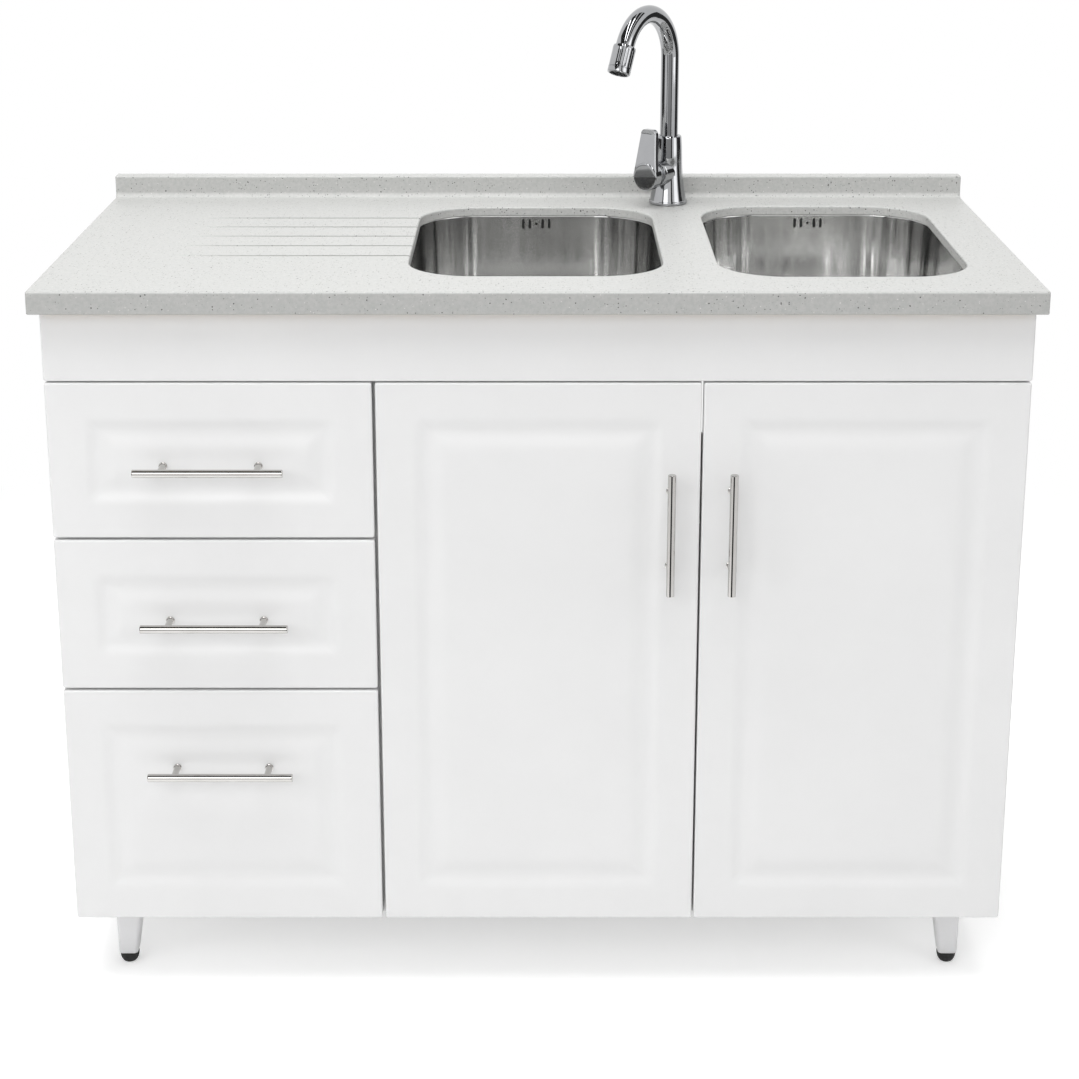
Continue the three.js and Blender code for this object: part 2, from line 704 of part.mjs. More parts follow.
function wasteFitting(bowl) {
  const seat = wasteSeat(bowl);
  const rim = wasteRecess / 2 - seatGap;
  const cup = wasteHole / 2 - seatGap;
  const under = seat - bowlWall - seatGap;
  const tail = wasteTailDiameter / 2;
  const cupBottom = seat - wasteCupDepth;
  const profile = [
    [tail - wasteWall, wasteEnd(bowl)],
    [tail, wasteEnd(bowl)],
    [tail, cupBottom - wasteWall],
    [cup - 2 * wasteWall, cupBottom - wasteWall],
    [cup, cupBottom + wasteWall],
    [cup, under - wasteNutHeight],
    [wasteNutDiameter / 2, under - wasteNutHeight],
    [wasteNutDiameter / 2, under],
    [cup, under],
    [cup, seat + seatGap],
    [rim, seat + seatGap],
    [rim - wasteFlangeChamfer, seat + seatGap + wasteFlangeThickness],
    [cup - wasteWall / 2, seat + seatGap + wasteFlangeThickness],
    [cup - wasteWall, seat - wasteWall / 2],
    [cup - wasteWall, cupBottom + wasteWall],
    [cup - 3 * wasteWall, cupBottom],
    [tail - wasteWall, cupBottom],
    [tail - wasteWall, wasteEnd(bowl)],
  ];
  const plateTop = seat - strainerDrop;
  const plate = drum(wasteHole - wasteWall, plateTop - strainerThickness, plateTop, 0, 0);
  const plateBottom = plateTop - 2 * strainerThickness; // lower end of the holes' tools
  const holes = [];
  for (const [share, count] of [[0.62, strainerHoles], [0.3, strainerHoles / 2]]) {
    for (let hole = 0; hole < count; hole += 1) {
      const angle = (2 * Math.PI * hole) / count;
      const reach = (wasteHole / 2 - wasteWall) * share;
      const x = reach * Math.cos(angle);
      const y = reach * Math.sin(angle);
      holes.push(drum(strainerHole, plateBottom, plateTop + strainerThickness, x, y, strainerFacets));
    }
  }
  const fitting = joined(revolved(profile), cut(plate, ...holes));
  return piece("waste_" + bowl.name, fitting.translate(bowl.centreX, bowlCentreY(bowl), 0), "brushedSteel");
}

function tubeAlong(curve, diameter, sides, steps) {
  const section = new THREE.Shape().absarc(0, 0, diameter / 2, 0, 2 * Math.PI);
  const settings = { steps, curveSegments: sides / 2, bevelEnabled: false, extrudePath: curve };
  return new THREE.ExtrudeGeometry(section, settings);
}

// A pipe with one quarter bend, from `start` round the corner to `end`.
function bentPipe(start, corner, end) {
  const curve = new THREE.CurvePath();
  const into = corner.clone().addScaledVector(start.clone().sub(corner).normalize(), pipeBend);
  const out = corner.clone().addScaledVector(end.clone().sub(corner).normalize(), pipeBend);
  curve.add(new THREE.LineCurve3(start, into));
  curve.add(new THREE.QuadraticBezierCurve3(into, corner, out));
  curve.add(new THREE.LineCurve3(out, end));
  return tubeAlong(curve, pipeDiameter, pipeFacets, pipeSteps);
}

function trapPipework() {
  const trapX = (leftBowl.centreX + rightBowl.centreX) / 2;
  const levelY = (bowlCentreY(leftBowl) + bowlCentreY(rightBowl)) / 2;
  const level = Math.min(wasteEnd(leftBowl), wasteEnd(rightBowl)) - collectorDrop;
  const parts = [];
  for (const bowl of [leftBowl, rightBowl]) {
    const top = wasteEnd(bowl) - seatGap;
    const start = new THREE.Vector3(bowl.centreX, bowlCentreY(bowl), top);
    const corner = new THREE.Vector3(bowl.centreX, bowlCentreY(bowl), level);
    const end = new THREE.Vector3(trapX, levelY, level);
    parts.push(bentPipe(start, corner, end));
    const nutBottom = top - unionNutHeight;
    parts.push(drum(unionNutDiameter, nutBottom, top, bowl.centreX, bowlCentreY(bowl), pipeFacets));
  }
  const bottleTop = level + trapRise;
  const bottleBottom = bottleTop - trapHeight;
  const cap = trapDiameter / 2;
  const bottle = revolved([
    [0, bottleBottom],
    [cap - trapStep, bottleBottom],
    [cap, bottleBottom + trapFootChamfer],
    [cap, bottleBottom + trapCapHeight],
    [cap - trapStep, bottleBottom + trapCapHeight],
    [cap - trapStep, bottleTop - trapShoulder],
    [cap - trapStep - trapShoulder, bottleTop],
    [0, bottleTop],
  ], barFacets);
  parts.push(bottle.translate(trapX, levelY, 0));
  const outletZ = level - outletDrop;
  const outletLength = wallY - levelY;
  const outlet = new THREE.CylinderGeometry(pipeDiameter / 2, pipeDiameter / 2, outletLength, pipeFacets);
  parts.push(outlet.translate(trapX, levelY + outletLength / 2, outletZ));
  const nutRadius = unionNutDiameter / 2;
  const nut = new THREE.CylinderGeometry(nutRadius, nutRadius, unionNutHeight, pipeFacets);
  parts.push(nut.translate(trapX, levelY + cap + unionNutHeight, outletZ));
  const boreLength = outletLength / 2;
  const boreRadius = pipeDiameter / 2 - pipeWall;
  const bore = new THREE.CylinderGeometry(boreRadius, boreRadius, boreLength, pipeFacets);
  bore.translate(trapX, wallY + pipeWall - boreLength / 2, outletZ);
  return piece("trap_pipework", cut(joined(...parts), bore), "whitePlastic");
}

// ---------------------------------------------------------------- tap

// Its pieces are made about the tap's own axis, from the top of the worktop up.
function headingVector(degrees) {
  return new THREE.Vector3(-Math.sin(radians(degrees)), -Math.cos(radians(degrees)), 0);
}

// The valve's frame: Z along the barrel, Y up.
function valveMatrix() {
  const along = headingVector(valveHeading);
  const up = new THREE.Vector3(0, 0, 1);
  const across = up.clone().cross(along);
  return new THREE.Matrix4().makeBasis(across, up, along).setPosition(0, 0, valveHeight);
}

function tapBody() {
  const neck = tapNeckDiameter / 2;
  const chamfer = 1.5;
  const socket = spoutDiameter / 2 + seatGap;
  const socketFloor = tapBodyHeight - spoutSocketDepth - seatGap;
  const body = revolved([
    [0, -tapShankLength],
    [tapShankDiameter / 2, -tapShankLength],
    [tapShankDiameter / 2, seatGap],
    [tapBaseDiameter / 2, seatGap],
    [tapBaseDiameter / 2, tapBaseRim],
    [tapBaseDiameter / 2 - chamfer, tapBaseRim + chamfer],
    [tapWaistDiameter / 2, tapWaistHeight],
    [neck, tapBodyHeight - chamfer],
    [neck - chamfer, tapBodyHeight],
    [socket, tapBodyHeight],
    [socket, socketFloor],
    [0, socketFloor],
  ]);
  const barrel = revolved([
    [0, 0],
    [barrelDiameter / 2, 0],
    [barrelDiameter / 2, barrelReach - chamfer],
    [barrelDiameter / 2 - chamfer, barrelReach],
    [0, barrelReach],
  ]);
  return piece("tap_body", joined(body, barrel.applyMatrix4(valveMatrix())), "chrome");
}

function tapMountingNut() {
  const top = carcassTop - worktopTop;
  const outer = tapNutDiameter / 2;
  const inner = tapShankDiameter / 2 + seatGap;
  const washer = 3;
  const nut = revolved([
    [inner, top - tapNutHeight],
    [outer - washer, top - tapNutHeight],
    [outer - washer, top - washer],
    [outer, top - washer],
    [outer, top],
    [inner, top],
    [inner, top - tapNutHeight],
  ]);
  return piece("tap_mounting_nut", nut, "brass");
}

// Part of a circle that starts upward at `foot` and leans over toward `ahead`.
class LeaningArc extends THREE.Curve {
  constructor(foot, ahead, radius, turn) {
    super();
    Object.assign(this, { foot, ahead, radius, turn });
  }

  getPoint(share, target = new THREE.Vector3()) {
    const angle = this.turn * share;
    const rise = new THREE.Vector3(0, 0, this.radius * Math.sin(angle));
    target.copy(this.foot).add(rise);
    return target.addScaledVector(this.ahead, this.radius * (1 - Math.cos(angle)));
  }
}

// Where the bend ends, and which way it points there.
function spoutEnd() {
  const turn = radians(spoutTurn);
  const ahead = headingVector(spoutHeading);
  const top = new THREE.Vector3(0, 0, spoutRiser);
  const bend = new LeaningArc(top, ahead, spoutBend, turn);
  const along = ahead.clone().multiplyScalar(Math.sin(turn)).setZ(Math.cos(turn));
  return { top, bend, end: bend.getPoint(1), along };
}

function tapSpout() {
  const { top, bend, end, along } = spoutEnd();
  const foot = new THREE.Vector3(0, 0, tapBodyHeight - spoutSocketDepth);
  const tip = end.clone().addScaledVector(along, nozzleSocketDepth - seatGap);
  const path = new THREE.CurvePath();
  path.add(new THREE.LineCurve3(foot, top));
  path.add(bend);
  path.add(new THREE.LineCurve3(end, tip));
  return piece("tap_spout", tubeAlong(path, spoutDiameter, smallTurnedFacets, spoutSteps), "chrome");
}

function tapNozzle() {
  const { end, along } = spoutEnd();
  const outer = nozzleDiameter / 2;
  const socket = spoutDiameter / 2 + runningGap;
  const mouth = outer - nozzleWall - nozzleSeam;
  const profile = [
    [0, nozzleLength - nozzleMouthDepth],
    [mouth, nozzleLength - nozzleMouthDepth],
    [mouth, nozzleLength],
    [outer - nozzleLip, nozzleLength],
    [outer, nozzleLength - nozzleLip],
    [outer - nozzleSeam, nozzleLength - nozzleBand],
    [outer, nozzleLength - nozzleBand - 2 * nozzleSeam],
    [outer - nozzleSeam, nozzleShoulder],
    [outer - 2 * nozzleSeam, 0],
    [socket, 0],
    [socket, nozzleSocketDepth],
    [0, nozzleSocketDepth],
  ];
  const down = profile.map(([radius, height]) => [radius, -height]);
  const nozzle = revolved(down, barFacets);
  const tilt = new THREE.Quaternion().setFromUnitVectors(new THREE.Vector3(0, 0, -1), along);
  return piece("tap_nozzle", nozzle.applyQuaternion(tilt).translate(end.x, end.y, end.z), "chrome");
}

// A dome that turns on the barrel's end. The lever's cap turns and tilts over it.
function tapCartridge() {
  const radius = domeDiameter / 2;
  const base = barrelReach + seatGap;
  const baseAngle = Math.asin((base - domeCentre) / radius);
  const steps = 6;
  const profile = [[0, base]];
  for (let step = 0; step <= steps; step += 1) {
    const angle = baseAngle + (Math.PI / 2 - baseAngle) * (step / steps);
    profile.push([radius * Math.cos(angle), domeCentre + radius * Math.sin(angle)]);
  }
  profile[profile.length - 1][0] = 0;
  return piece("tap_cartridge", revolved(profile, smallTurnedFacets), "brushedSteel");
}

function leverOutline() {
  const foot = leverCapDiameter / 2;
  const corner = 7;
  const top = leverTopWidth / 2;
  const outline = new THREE.Shape();
  outline.absarc(0, 0, foot, Math.PI, 2 * Math.PI);
  outline.lineTo(top, leverHeight - corner);
  outline.absarc(top - corner, leverHeight - corner, corner, 0, Math.PI / 2);
  outline.absarc(corner - top, leverHeight - corner, corner, Math.PI / 2, Math.PI);
  return outline;
}

function tapLever() {
  const outer = leverCapDiameter / 2;
  const rear = domeCentre + leverRearReach;
  const cap = revolved([
    [0, rear],
    [outer, rear],
    [outer, leverCapFront - leverBevel],
    [outer - leverBevel, leverCapFront],
    [0, leverCapFront],
  ], smallTurnedFacets);
  const paddle = new THREE.ExtrudeGeometry(leverOutline(), {
    depth: leverThickness - 2 * leverBevel,
    bevelSize: leverBevel,
    bevelThickness: leverBevel,
    bevelOffset: -leverBevel,
    bevelSegments: 1,
    curveSegments: 5,
  });
  paddle.translate(0, 0, leverCapFront - leverThickness + leverBevel);
  const hollow = new THREE.SphereGeometry(domeDiameter / 2 + runningGap, smallTurnedFacets, pipeFacets);
  hollow.rotateX(Math.PI / 2).translate(0, 0, domeCentre);
  return piece("tap_lever", cut(joined(cap, paddle), hollow), "chrome");
}

function tap() {
  const group = new THREE.Group();
  const valve = new THREE.Group();
  valveMatrix().decompose(valve.position, valve.quaternion, valve.scale);
  valve.add(tapCartridge(), tapLever());
  group.add(tapBody(), tapMountingNut(), tapSpout(), tapNozzle(), valve);
  group.position.set(tapX, tapY, worktopTop);
  return group;
}

// ---------------------------------------------------------------- drawers

// A drawer's side, folded from one sheet: flange, wall, hemmed top and slide. `inner` is the x of
// its inside face and `out` is 1 or -1, the way to the cabinet's wall.
function drawerSide(name, inner, out, bottom, height) {
  const t = steelThickness;
  const slideFoot = railLower + t + seatGap;
  const points = [
    [-sideFlange, 0], [t, 0],
    [t, slideHeight - t], [slideReach - t, slideHeight - t], [slideReach - t, slideFoot],
    [slideReach, slideFoot], [slideReach, slideHeight], [t, slideHeight],
    [t, height - t], [sideHem - t, height - t], [sideHem - t, height - sideHemDrop],
    [sideHem, height - sideHemDrop], [sideHem, height], [0, height],
    [0, t], [-sideFlange, t],
  ];
  const outline = polygon(points.map(([u, v]) => [inner + out * u, bottom + v]));
  return piece(name, prismY(outline, drawerStart, drawerEnd), "drawerSteel");
}

function drawerRail(name, inner, out, bottom) {
  const t = steelThickness;
  const outer = sideZone - seatGap;
  const points = [
    [outer, railLower], [outer, railUpper],
    [outer - railReach, railUpper], [outer - railReach, railUpper - t],
    [outer - t, railUpper - t], [outer - t, railLower + t],
    [outer - railReach, railLower + t], [outer - railReach, railLower],
  ];
  const outline = polygon(points.map(([u, v]) => [inner + out * u, bottom + v]));
  return piece(name, prismY(outline, carcassFrontY, drawerEnd), "zincSteel");
}

function drawer(spec, z0) {
  const group = new THREE.Group();
  const title = "drawer_" + spec.name;
  const z1 = z0 + spec.front;
  const middle = (drawerFrontLeft + drawerFrontRight) / 2;
  const insideLeft = innerLeft + sideZone;
  const insideRight = partitionLeft - sideZone;
  const bottom = z0 + drawerLift;
  const boardBottom = bottom + steelThickness + seatGap;
  const boardTop = boardBottom + drawerBoard;
  group.add(
    piece(title + "_front", raisedPanel(drawerFrontLeft, drawerFrontRight, z0, z1), "satinWhite"),
    drawerSide(title + "_side_left", insideLeft, -1, bottom, spec.side),
    drawerSide(title + "_side_right", insideRight, 1, bottom, spec.side),
  );
  const board = block(
    insideLeft + seatGap, insideRight - seatGap, drawerStart, drawerEnd, boardBottom, boardTop,
  );
  const back = block(
    insideLeft + seatGap, insideRight - seatGap,
    drawerEnd - drawerBoard, drawerEnd,
    boardTop + seatGap, bottom + spec.side - drawerBackDrop,
  );
  const handleZ = z1 - drawerHandleDrop;
  group.add(
    piece(title + "_bottom", board, "melamine"),
    piece(title + "_back", back, "melamine"),
    barHandle(
      title + "_handle", middle, handleZ, drawerBarLength, drawerPostSpacing, false, panelFieldSetback,
    ),
    drawerRail("runner_" + spec.name + "_left", insideLeft, -1, bottom),
    drawerRail("runner_" + spec.name + "_right", insideRight, 1, bottom),
  );
  return group;
}

function drawers() {
  const group = new THREE.Group();
  let z0 = frontBottom;
  for (const spec of drawerSpecs) {
    group.add(drawer(spec, z0));
    z0 += spec.front + frontGap;
  }
  return group;
}

// ---------------------------------------------------------------- doors and hinges

// A door hangs on its edge at `edge`. `inward` is 1 or -1, the way to its meeting edge.
function door(name, edge, inward) {
  const far = edge + inward * frontWidth;
  let panel = raisedPanel(Math.min(edge, far), Math.max(edge, far), frontBottom, frontTop);
  const cupX = edge + inward * hingeCupFromEdge;
  for (const z of hingeHeights()) {
    const flange = block(
      cupX - hingeFlangeWidth / 2, cupX + hingeFlangeWidth / 2,
      frontBackY - 1, frontBackY + hingeFlangeThickness,
      z - hingeFlangeHeight / 2, z + hingeFlangeHeight / 2,
    );
    const boreRadius = hingeCupBore / 2;
    const well = new THREE.CylinderGeometry(boreRadius, boreRadius, hingeWellDepth + 2, barFacets);
    well.translate(cupX, frontBackY + 1 - hingeWellDepth / 2, z);
    panel = cut(joined(panel, flange), well);
  }
  return piece(name, panel, "satinWhite");
}

function hingeHeights() {
  return [frontBottom + hingeFromEnd, frontTop - hingeFromEnd];
}

// A hinge arm on its plate: `wall` is the face of the board that carries it. Its tongue reaches
// into the door's cup, clear of the way that the cup swings.
function hingeArm(name, wall, inward, edge, z) {
  const side = (distance) => wall + inward * (seatGap + distance);
  const across = (distance) => edge + inward * distance;
  const armEnd = carcassFrontY + hingeArmLength;
  const tongueEnd = frontBackY - hingeWellDepth + seatGap;
  const outline = polygon([
    [side(hingePlateThickness / 2), carcassFrontY + 2 * hingeNeckDepth],
    [side(hingePlateThickness / 2), armEnd],
    [side(hingeArmThickness), armEnd],
    [side(hingeArmThickness), carcassFrontY + 4 * hingeNeckDepth],
    [across(hingeTongueFar), carcassFrontY + hingeNeckDepth],
    [across(hingeTongueFar), tongueEnd],
    [across(hingeTongueNear), tongueEnd],
    [across(hingeTongueNear), carcassFrontY],
  ]);
  const arm = prismZ(outline, z - hingeArmHeight / 2, z + hingeArmHeight / 2);
  const plateX = [side(0), side(hingePlateThickness)];
  const plate = block(
    Math.min(...plateX), Math.max(...plateX),
    armEnd - hingePlateLength, armEnd - hingePlateThickness,
    z - hingePlateHeight / 2, z + hingePlateHeight / 2,
  );
  return piece(name, joined(arm, plate), "zincSteel");
}

function doors() {
  const group = new THREE.Group();
  group.add(door("door_left", leftDoorEdge, 1), door("door_right", rightDoorEdge, -1));
  const handleZ = frontTop - doorHandleDrop;
  const leftX = leftDoorEdge + frontWidth - doorHandleInset;
  const rightX = rightDoorEdge - frontWidth + doorHandleInset;
  group.add(
    barHandle("door_left_handle", leftX, handleZ, doorBarLength, doorPostSpacing, true, 0),
    barHandle("door_right_handle", rightX, handleZ, doorBarLength, doorPostSpacing, true, 0),
  );
  const [low, high] = hingeHeights();
  for (const [level, z] of [["lower", low], ["upper", high]]) {
    group.add(
      hingeArm("hinge_left_" + level, partitionRight, 1, leftDoorEdge, z),
      hingeArm("hinge_right_" + level, innerRight, -1, rightDoorEdge, z),
    );
  }
  return group;
}

// ---------------------------------------------------------------- legs

function legSection(outerX, out, middleY, width, z) {
  const half = width / 2;
  const centreX = outerX - out * half;
  const steps = 3;
  const ring = [];
  for (let corner = 0; corner < 4; corner += 1) {
    const signX = corner === 0 || corner === 1 ? 1 : -1;
    const signY = corner === 1 || corner === 2 ? 1 : -1;
    const x = centreX + signX * (half - legCornerRadius);
    const y = middleY + signY * (half - legCornerRadius);
    for (let step = 0; step <= steps; step += 1) {
      const angle = (Math.PI / 2) * (corner - 1 + step / steps);
      const across = legCornerRadius * Math.cos(angle);
      const along = legCornerRadius * Math.sin(angle);
      ring.push(new THREE.Vector3(x + across, y + along, z));
    }
  }
  return ring;
}

// A tapered leg, straight on its outer side, over a black foot. `out` is 1 on the right.
function legWithFoot(place, out, middleY) {
  const outerX = out * (cabinetWidth / 2 - legInset);
  const footX = outerX - (out * legBottomWidth) / 2;
  const leg = lofted([
    legSection(outerX, out, middleY, legBottomWidth, footHeight + seatGap),
    legSection(outerX, out, middleY, legTopWidth, legHeight - seatGap),
  ]);
  const foot = revolved([
    [0, 0],
    [footBaseDiameter / 2, 0],
    [footDiameter / 2 - 1, footHeight * 0.3],
    [footDiameter / 2, footHeight * 0.55],
    [footDiameter / 2 - 0.6, footHeight],
    [0, footHeight],
  ], barFacets);
  return [
    piece("leg_" + place, leg, "legPlastic"),
    piece("foot_" + place, foot.translate(footX, middleY, 0), "blackRubber"),
  ];
}

function legs() {
  const group = new THREE.Group();
  const frontY = carcassFrontY + legFromFront + legTopWidth / 2;
  const backY = carcassBackY - legFromBack - legTopWidth / 2;
  for (const [end, y] of [["front", frontY], ["back", backY]]) {
    for (const [side, out] of [["left", -1], ["right", 1]]) {
      group.add(...legWithFoot(end + "_" + side, out, y));
    }
  }
  return group;
}

// ---------------------------------------------------------------- the unit

const unit = new THREE.Group();
unit.add(
  sidePanel("side_panel_left", cabinetLeft),
  sidePanel("side_panel_right", innerRight),
  partitionPanel(),
  bottomPanel(),
  backPanel(),
  rearRail(),
  fasciaBoard(),
  worktop(),
  worktopUnderlay(),
  pressedBowl(leftBowl),
  pressedBowl(rightBowl),
  wasteFitting(leftBowl),
  wasteFitting(rightBowl),
  trapPipework(),
  tap(),
  drawers(),
  doors(),
  legs(),
);

export default unit;
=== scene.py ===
from math import asin, cos, degrees, pi, radians, sin, sqrt

import bmesh
import bpy
from mathutils import Matrix, Vector


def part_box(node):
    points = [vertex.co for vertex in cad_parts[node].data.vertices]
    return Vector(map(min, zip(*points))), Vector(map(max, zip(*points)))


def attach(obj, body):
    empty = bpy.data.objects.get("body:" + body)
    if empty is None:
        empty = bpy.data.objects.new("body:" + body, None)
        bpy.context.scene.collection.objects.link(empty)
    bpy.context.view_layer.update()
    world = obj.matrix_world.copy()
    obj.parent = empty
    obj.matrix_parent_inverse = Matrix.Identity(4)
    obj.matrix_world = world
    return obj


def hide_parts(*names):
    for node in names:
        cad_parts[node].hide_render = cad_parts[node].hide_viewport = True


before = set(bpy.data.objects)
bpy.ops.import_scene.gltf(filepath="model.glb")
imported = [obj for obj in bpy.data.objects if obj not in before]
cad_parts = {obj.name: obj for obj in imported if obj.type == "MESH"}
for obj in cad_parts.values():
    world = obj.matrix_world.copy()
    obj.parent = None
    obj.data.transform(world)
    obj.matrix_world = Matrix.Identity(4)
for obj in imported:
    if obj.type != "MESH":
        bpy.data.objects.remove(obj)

mm = 0.001
sides = ("left", "right")
drawerLevels = ("lower", "middle", "upper")
hingeLevels = ("lower", "upper")
scene = bpy.context.scene
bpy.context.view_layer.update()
print("frame:", len(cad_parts), "nodes")


# Camera and lamps

cameraView = {
    "lens": 73.4, "sensor": 36, "clip": 50, "shift": -0.15,
    "place": (2.0, -2795.0, 1530.0),
    "pitch": 15.72,  # degrees below the horizon
}
cameraData = bpy.data.cameras.new("camera")
cameraData.lens = cameraView["lens"]
cameraData.sensor_width = cameraView["sensor"]
cameraData.shift_y = cameraView["shift"]
cameraData.clip_end = cameraView["clip"]
camera = bpy.data.objects.new("camera", cameraData)
camera.location = Vector(cameraView["place"]) * mm
camera.rotation_euler = (radians(90 - cameraView["pitch"]), 0, 0)
scene.collection.objects.link(camera)
scene.camera = camera
scene.view_settings.view_transform = "Standard"

lampValues = [  # name, place, aimed at, size, watts, shown in reflections (two would glare off the top)
    ("overheadSoftbox", (-0.2, -0.5, 3.1), (0, 0, 0.9), (2.6, 2.0), 80, True),
    ("frontSoftbox", (-1.3, -3.4, 2.3), (0, 0, 0.6), (2.4, 2.0), 34.5, True),
    ("leftFill", (-2.5, -1.5, 0.9), (0, 0, 0.5), (1.0, 1.2), 8, False),
    ("rightFill", (2.6, -1.6, 1.5), (0, 0, 0.6), (1.4, 1.8), 10, True),
    ("backFill", (0.4, 3.0, 2.0), (0, 0, 0.6), (2.4, 1.6), 22, False),
]
for lampName, lampPlace, target, size, watts, reflected in lampValues:
    lampData = bpy.data.lights.new(lampName, "AREA")
    lampData.shape = "RECTANGLE"
    lampData.size, lampData.size_y = size
    lampData.energy = watts
    lamp = bpy.data.objects.new(lampName, lampData)
    lamp.location = lampPlace
    lamp.rotation_euler = (Vector(target) - Vector(lampPlace)).to_track_quat("-Z", "Y").to_euler()
    lamp.visible_glossy = reflected
    scene.collection.objects.link(lamp)


# Node helpers

def add(tree, kind, inputs=None, **settings):
    made = tree.nodes.new(kind)
    for key, value in settings.items():
        setattr(made, key, value)
    for key, value in (inputs or {}).items():
        if isinstance(value, bpy.types.NodeSocket):
            tree.links.new(value, made.inputs[key])
        else:
            made.inputs[key].default_value = value
    return made


def maths(tree, operation, *values, clamp=False):
    inputs = dict(enumerate(values))
    return add(tree, "ShaderNodeMath", inputs, operation=operation, use_clamp=clamp).outputs[0]


def vectors(tree, operation, *values):
    return add(tree, "ShaderNodeVectorMath", dict(enumerate(values)), operation=operation).outputs[0]


def ranged(tree, value, start, end, low=0.0, high=1.0, **settings):
    inputs = {"Value": value, "From Min": start, "From Max": end, "To Min": low, "To Max": high}
    return add(tree, "ShaderNodeMapRange", inputs, **settings).outputs["Result"]


def mixed(tree, mask, base, colour):
    return add(tree, "ShaderNodeMix", {"Factor": mask, 6: base, 7: colour}, data_type="RGBA").outputs[2]


def newTree(name, inputs, outputs, kind="Shader"):
    tree = bpy.data.node_groups.new(name, kind + "NodeTree")
    for way, sockets in (("INPUT", inputs), ("OUTPUT", outputs)):
        for socketName, socketKind in sockets.items():
            tree.interface.new_socket(name=socketName, in_out=way, socket_type="NodeSocket" + socketKind)
    return tree, tree.nodes.new("NodeGroupInput").outputs, tree.nodes.new("NodeGroupOutput").inputs


def useGroup(tree, group, inputs):
    return add(tree, "ShaderNodeGroup", inputs, node_tree=group).outputs


# Shader groups that several finishes share

def makeMottle():
    tree, given, result = newTree(
        "mottle", {"Vector": "Vector", "Scale": "Float", "Low": "Color", "High": "Color"}, {"Color": "Color"})
    noise = add(tree, "ShaderNodeTexNoise", {
        "Vector": given["Vector"], "Scale": given["Scale"], "Detail": 4.0, "Roughness": 0.6})
    spread = ranged(tree, noise.outputs["Fac"], 0.32, 0.68)
    tree.links.new(mixed(tree, spread, given["Low"], given["High"]), result["Color"])
    return tree


def makeGrain():
    tree, given, result = newTree(
        "grain", {"Vector": "Vector", "Stretch": "Vector", "Scale": "Float"}, {"Height": "Float"})
    stretched = vectors(tree, "MULTIPLY", given["Vector"], given["Stretch"])
    noise = add(tree, "ShaderNodeTexNoise", {
        "Vector": stretched, "Scale": given["Scale"], "Detail": 3.0, "Roughness": 0.55})
    tree.links.new(noise.outputs["Fac"], result["Height"])
    return tree


def makeSpecks():
    # a share of the cells holds a ragged speck, each of its own size
    tree, given, result = newTree(
        "specks", {"Vector": "Vector", "Scale": "Float", "Share": "Float", "Size": "Float", "Edge": "Float"},
        {"Mask": "Float"})
    ragged = add(tree, "ShaderNodeTexNoise", {"Vector": given["Vector"], "Scale": 900.0, "Detail": 1.0})
    centred = vectors(tree, "SUBTRACT", ragged.outputs["Color"], (0.5, 0.5, 0.5))
    warped = vectors(tree, "ADD", given["Vector"], vectors(tree, "MULTIPLY", centred, (0.0011, 0.0011, 0.0011)))
    cells = add(tree, "ShaderNodeTexVoronoi", {"Vector": warped, "Scale": given["Scale"]})
    parts = add(tree, "ShaderNodeSeparateColor", {"Color": cells.outputs["Color"]}).outputs
    present = maths(tree, "LESS_THAN", parts["Red"], given["Share"])
    radius = maths(tree, "MULTIPLY", maths(tree, "MULTIPLY_ADD", parts["Green"], 0.7, 0.3), given["Size"])
    covered = maths(tree, "SUBTRACT", radius, cells.outputs["Distance"])
    sharp = maths(tree, "DIVIDE", covered, given["Edge"], clamp=True)
    tree.links.new(maths(tree, "MULTIPLY", sharp, present), result["Mask"])
    return tree


def makeWear():
    tree, given, result = newTree("edgeWear", {"Vector": "Vector", "Amount": "Float"}, {"Mask": "Float"})
    edge = ranged(tree, add(tree, "ShaderNodeNewGeometry").outputs["Pointiness"], 0.51, 0.62)
    noise = add(tree, "ShaderNodeTexNoise", {"Vector": given["Vector"], "Scale": 60.0, "Detail": 3.0})
    broken = maths(tree, "MULTIPLY", edge, noise.outputs["Fac"])
    tree.links.new(maths(tree, "MULTIPLY", broken, given["Amount"], clamp=True), result["Mask"])
    return tree


mottle, grain, specks, edgeWear = makeMottle(), makeGrain(), makeSpecks(), makeWear()


# Finishes

def paint(*levels):
    # the linear colour of three sRGB levels
    shares = [level / 255 for level in levels]
    return (*[s / 12.92 if s <= 0.04045 else ((s + 0.055) / 1.055) ** 2.4 for s in shares], 1.0)


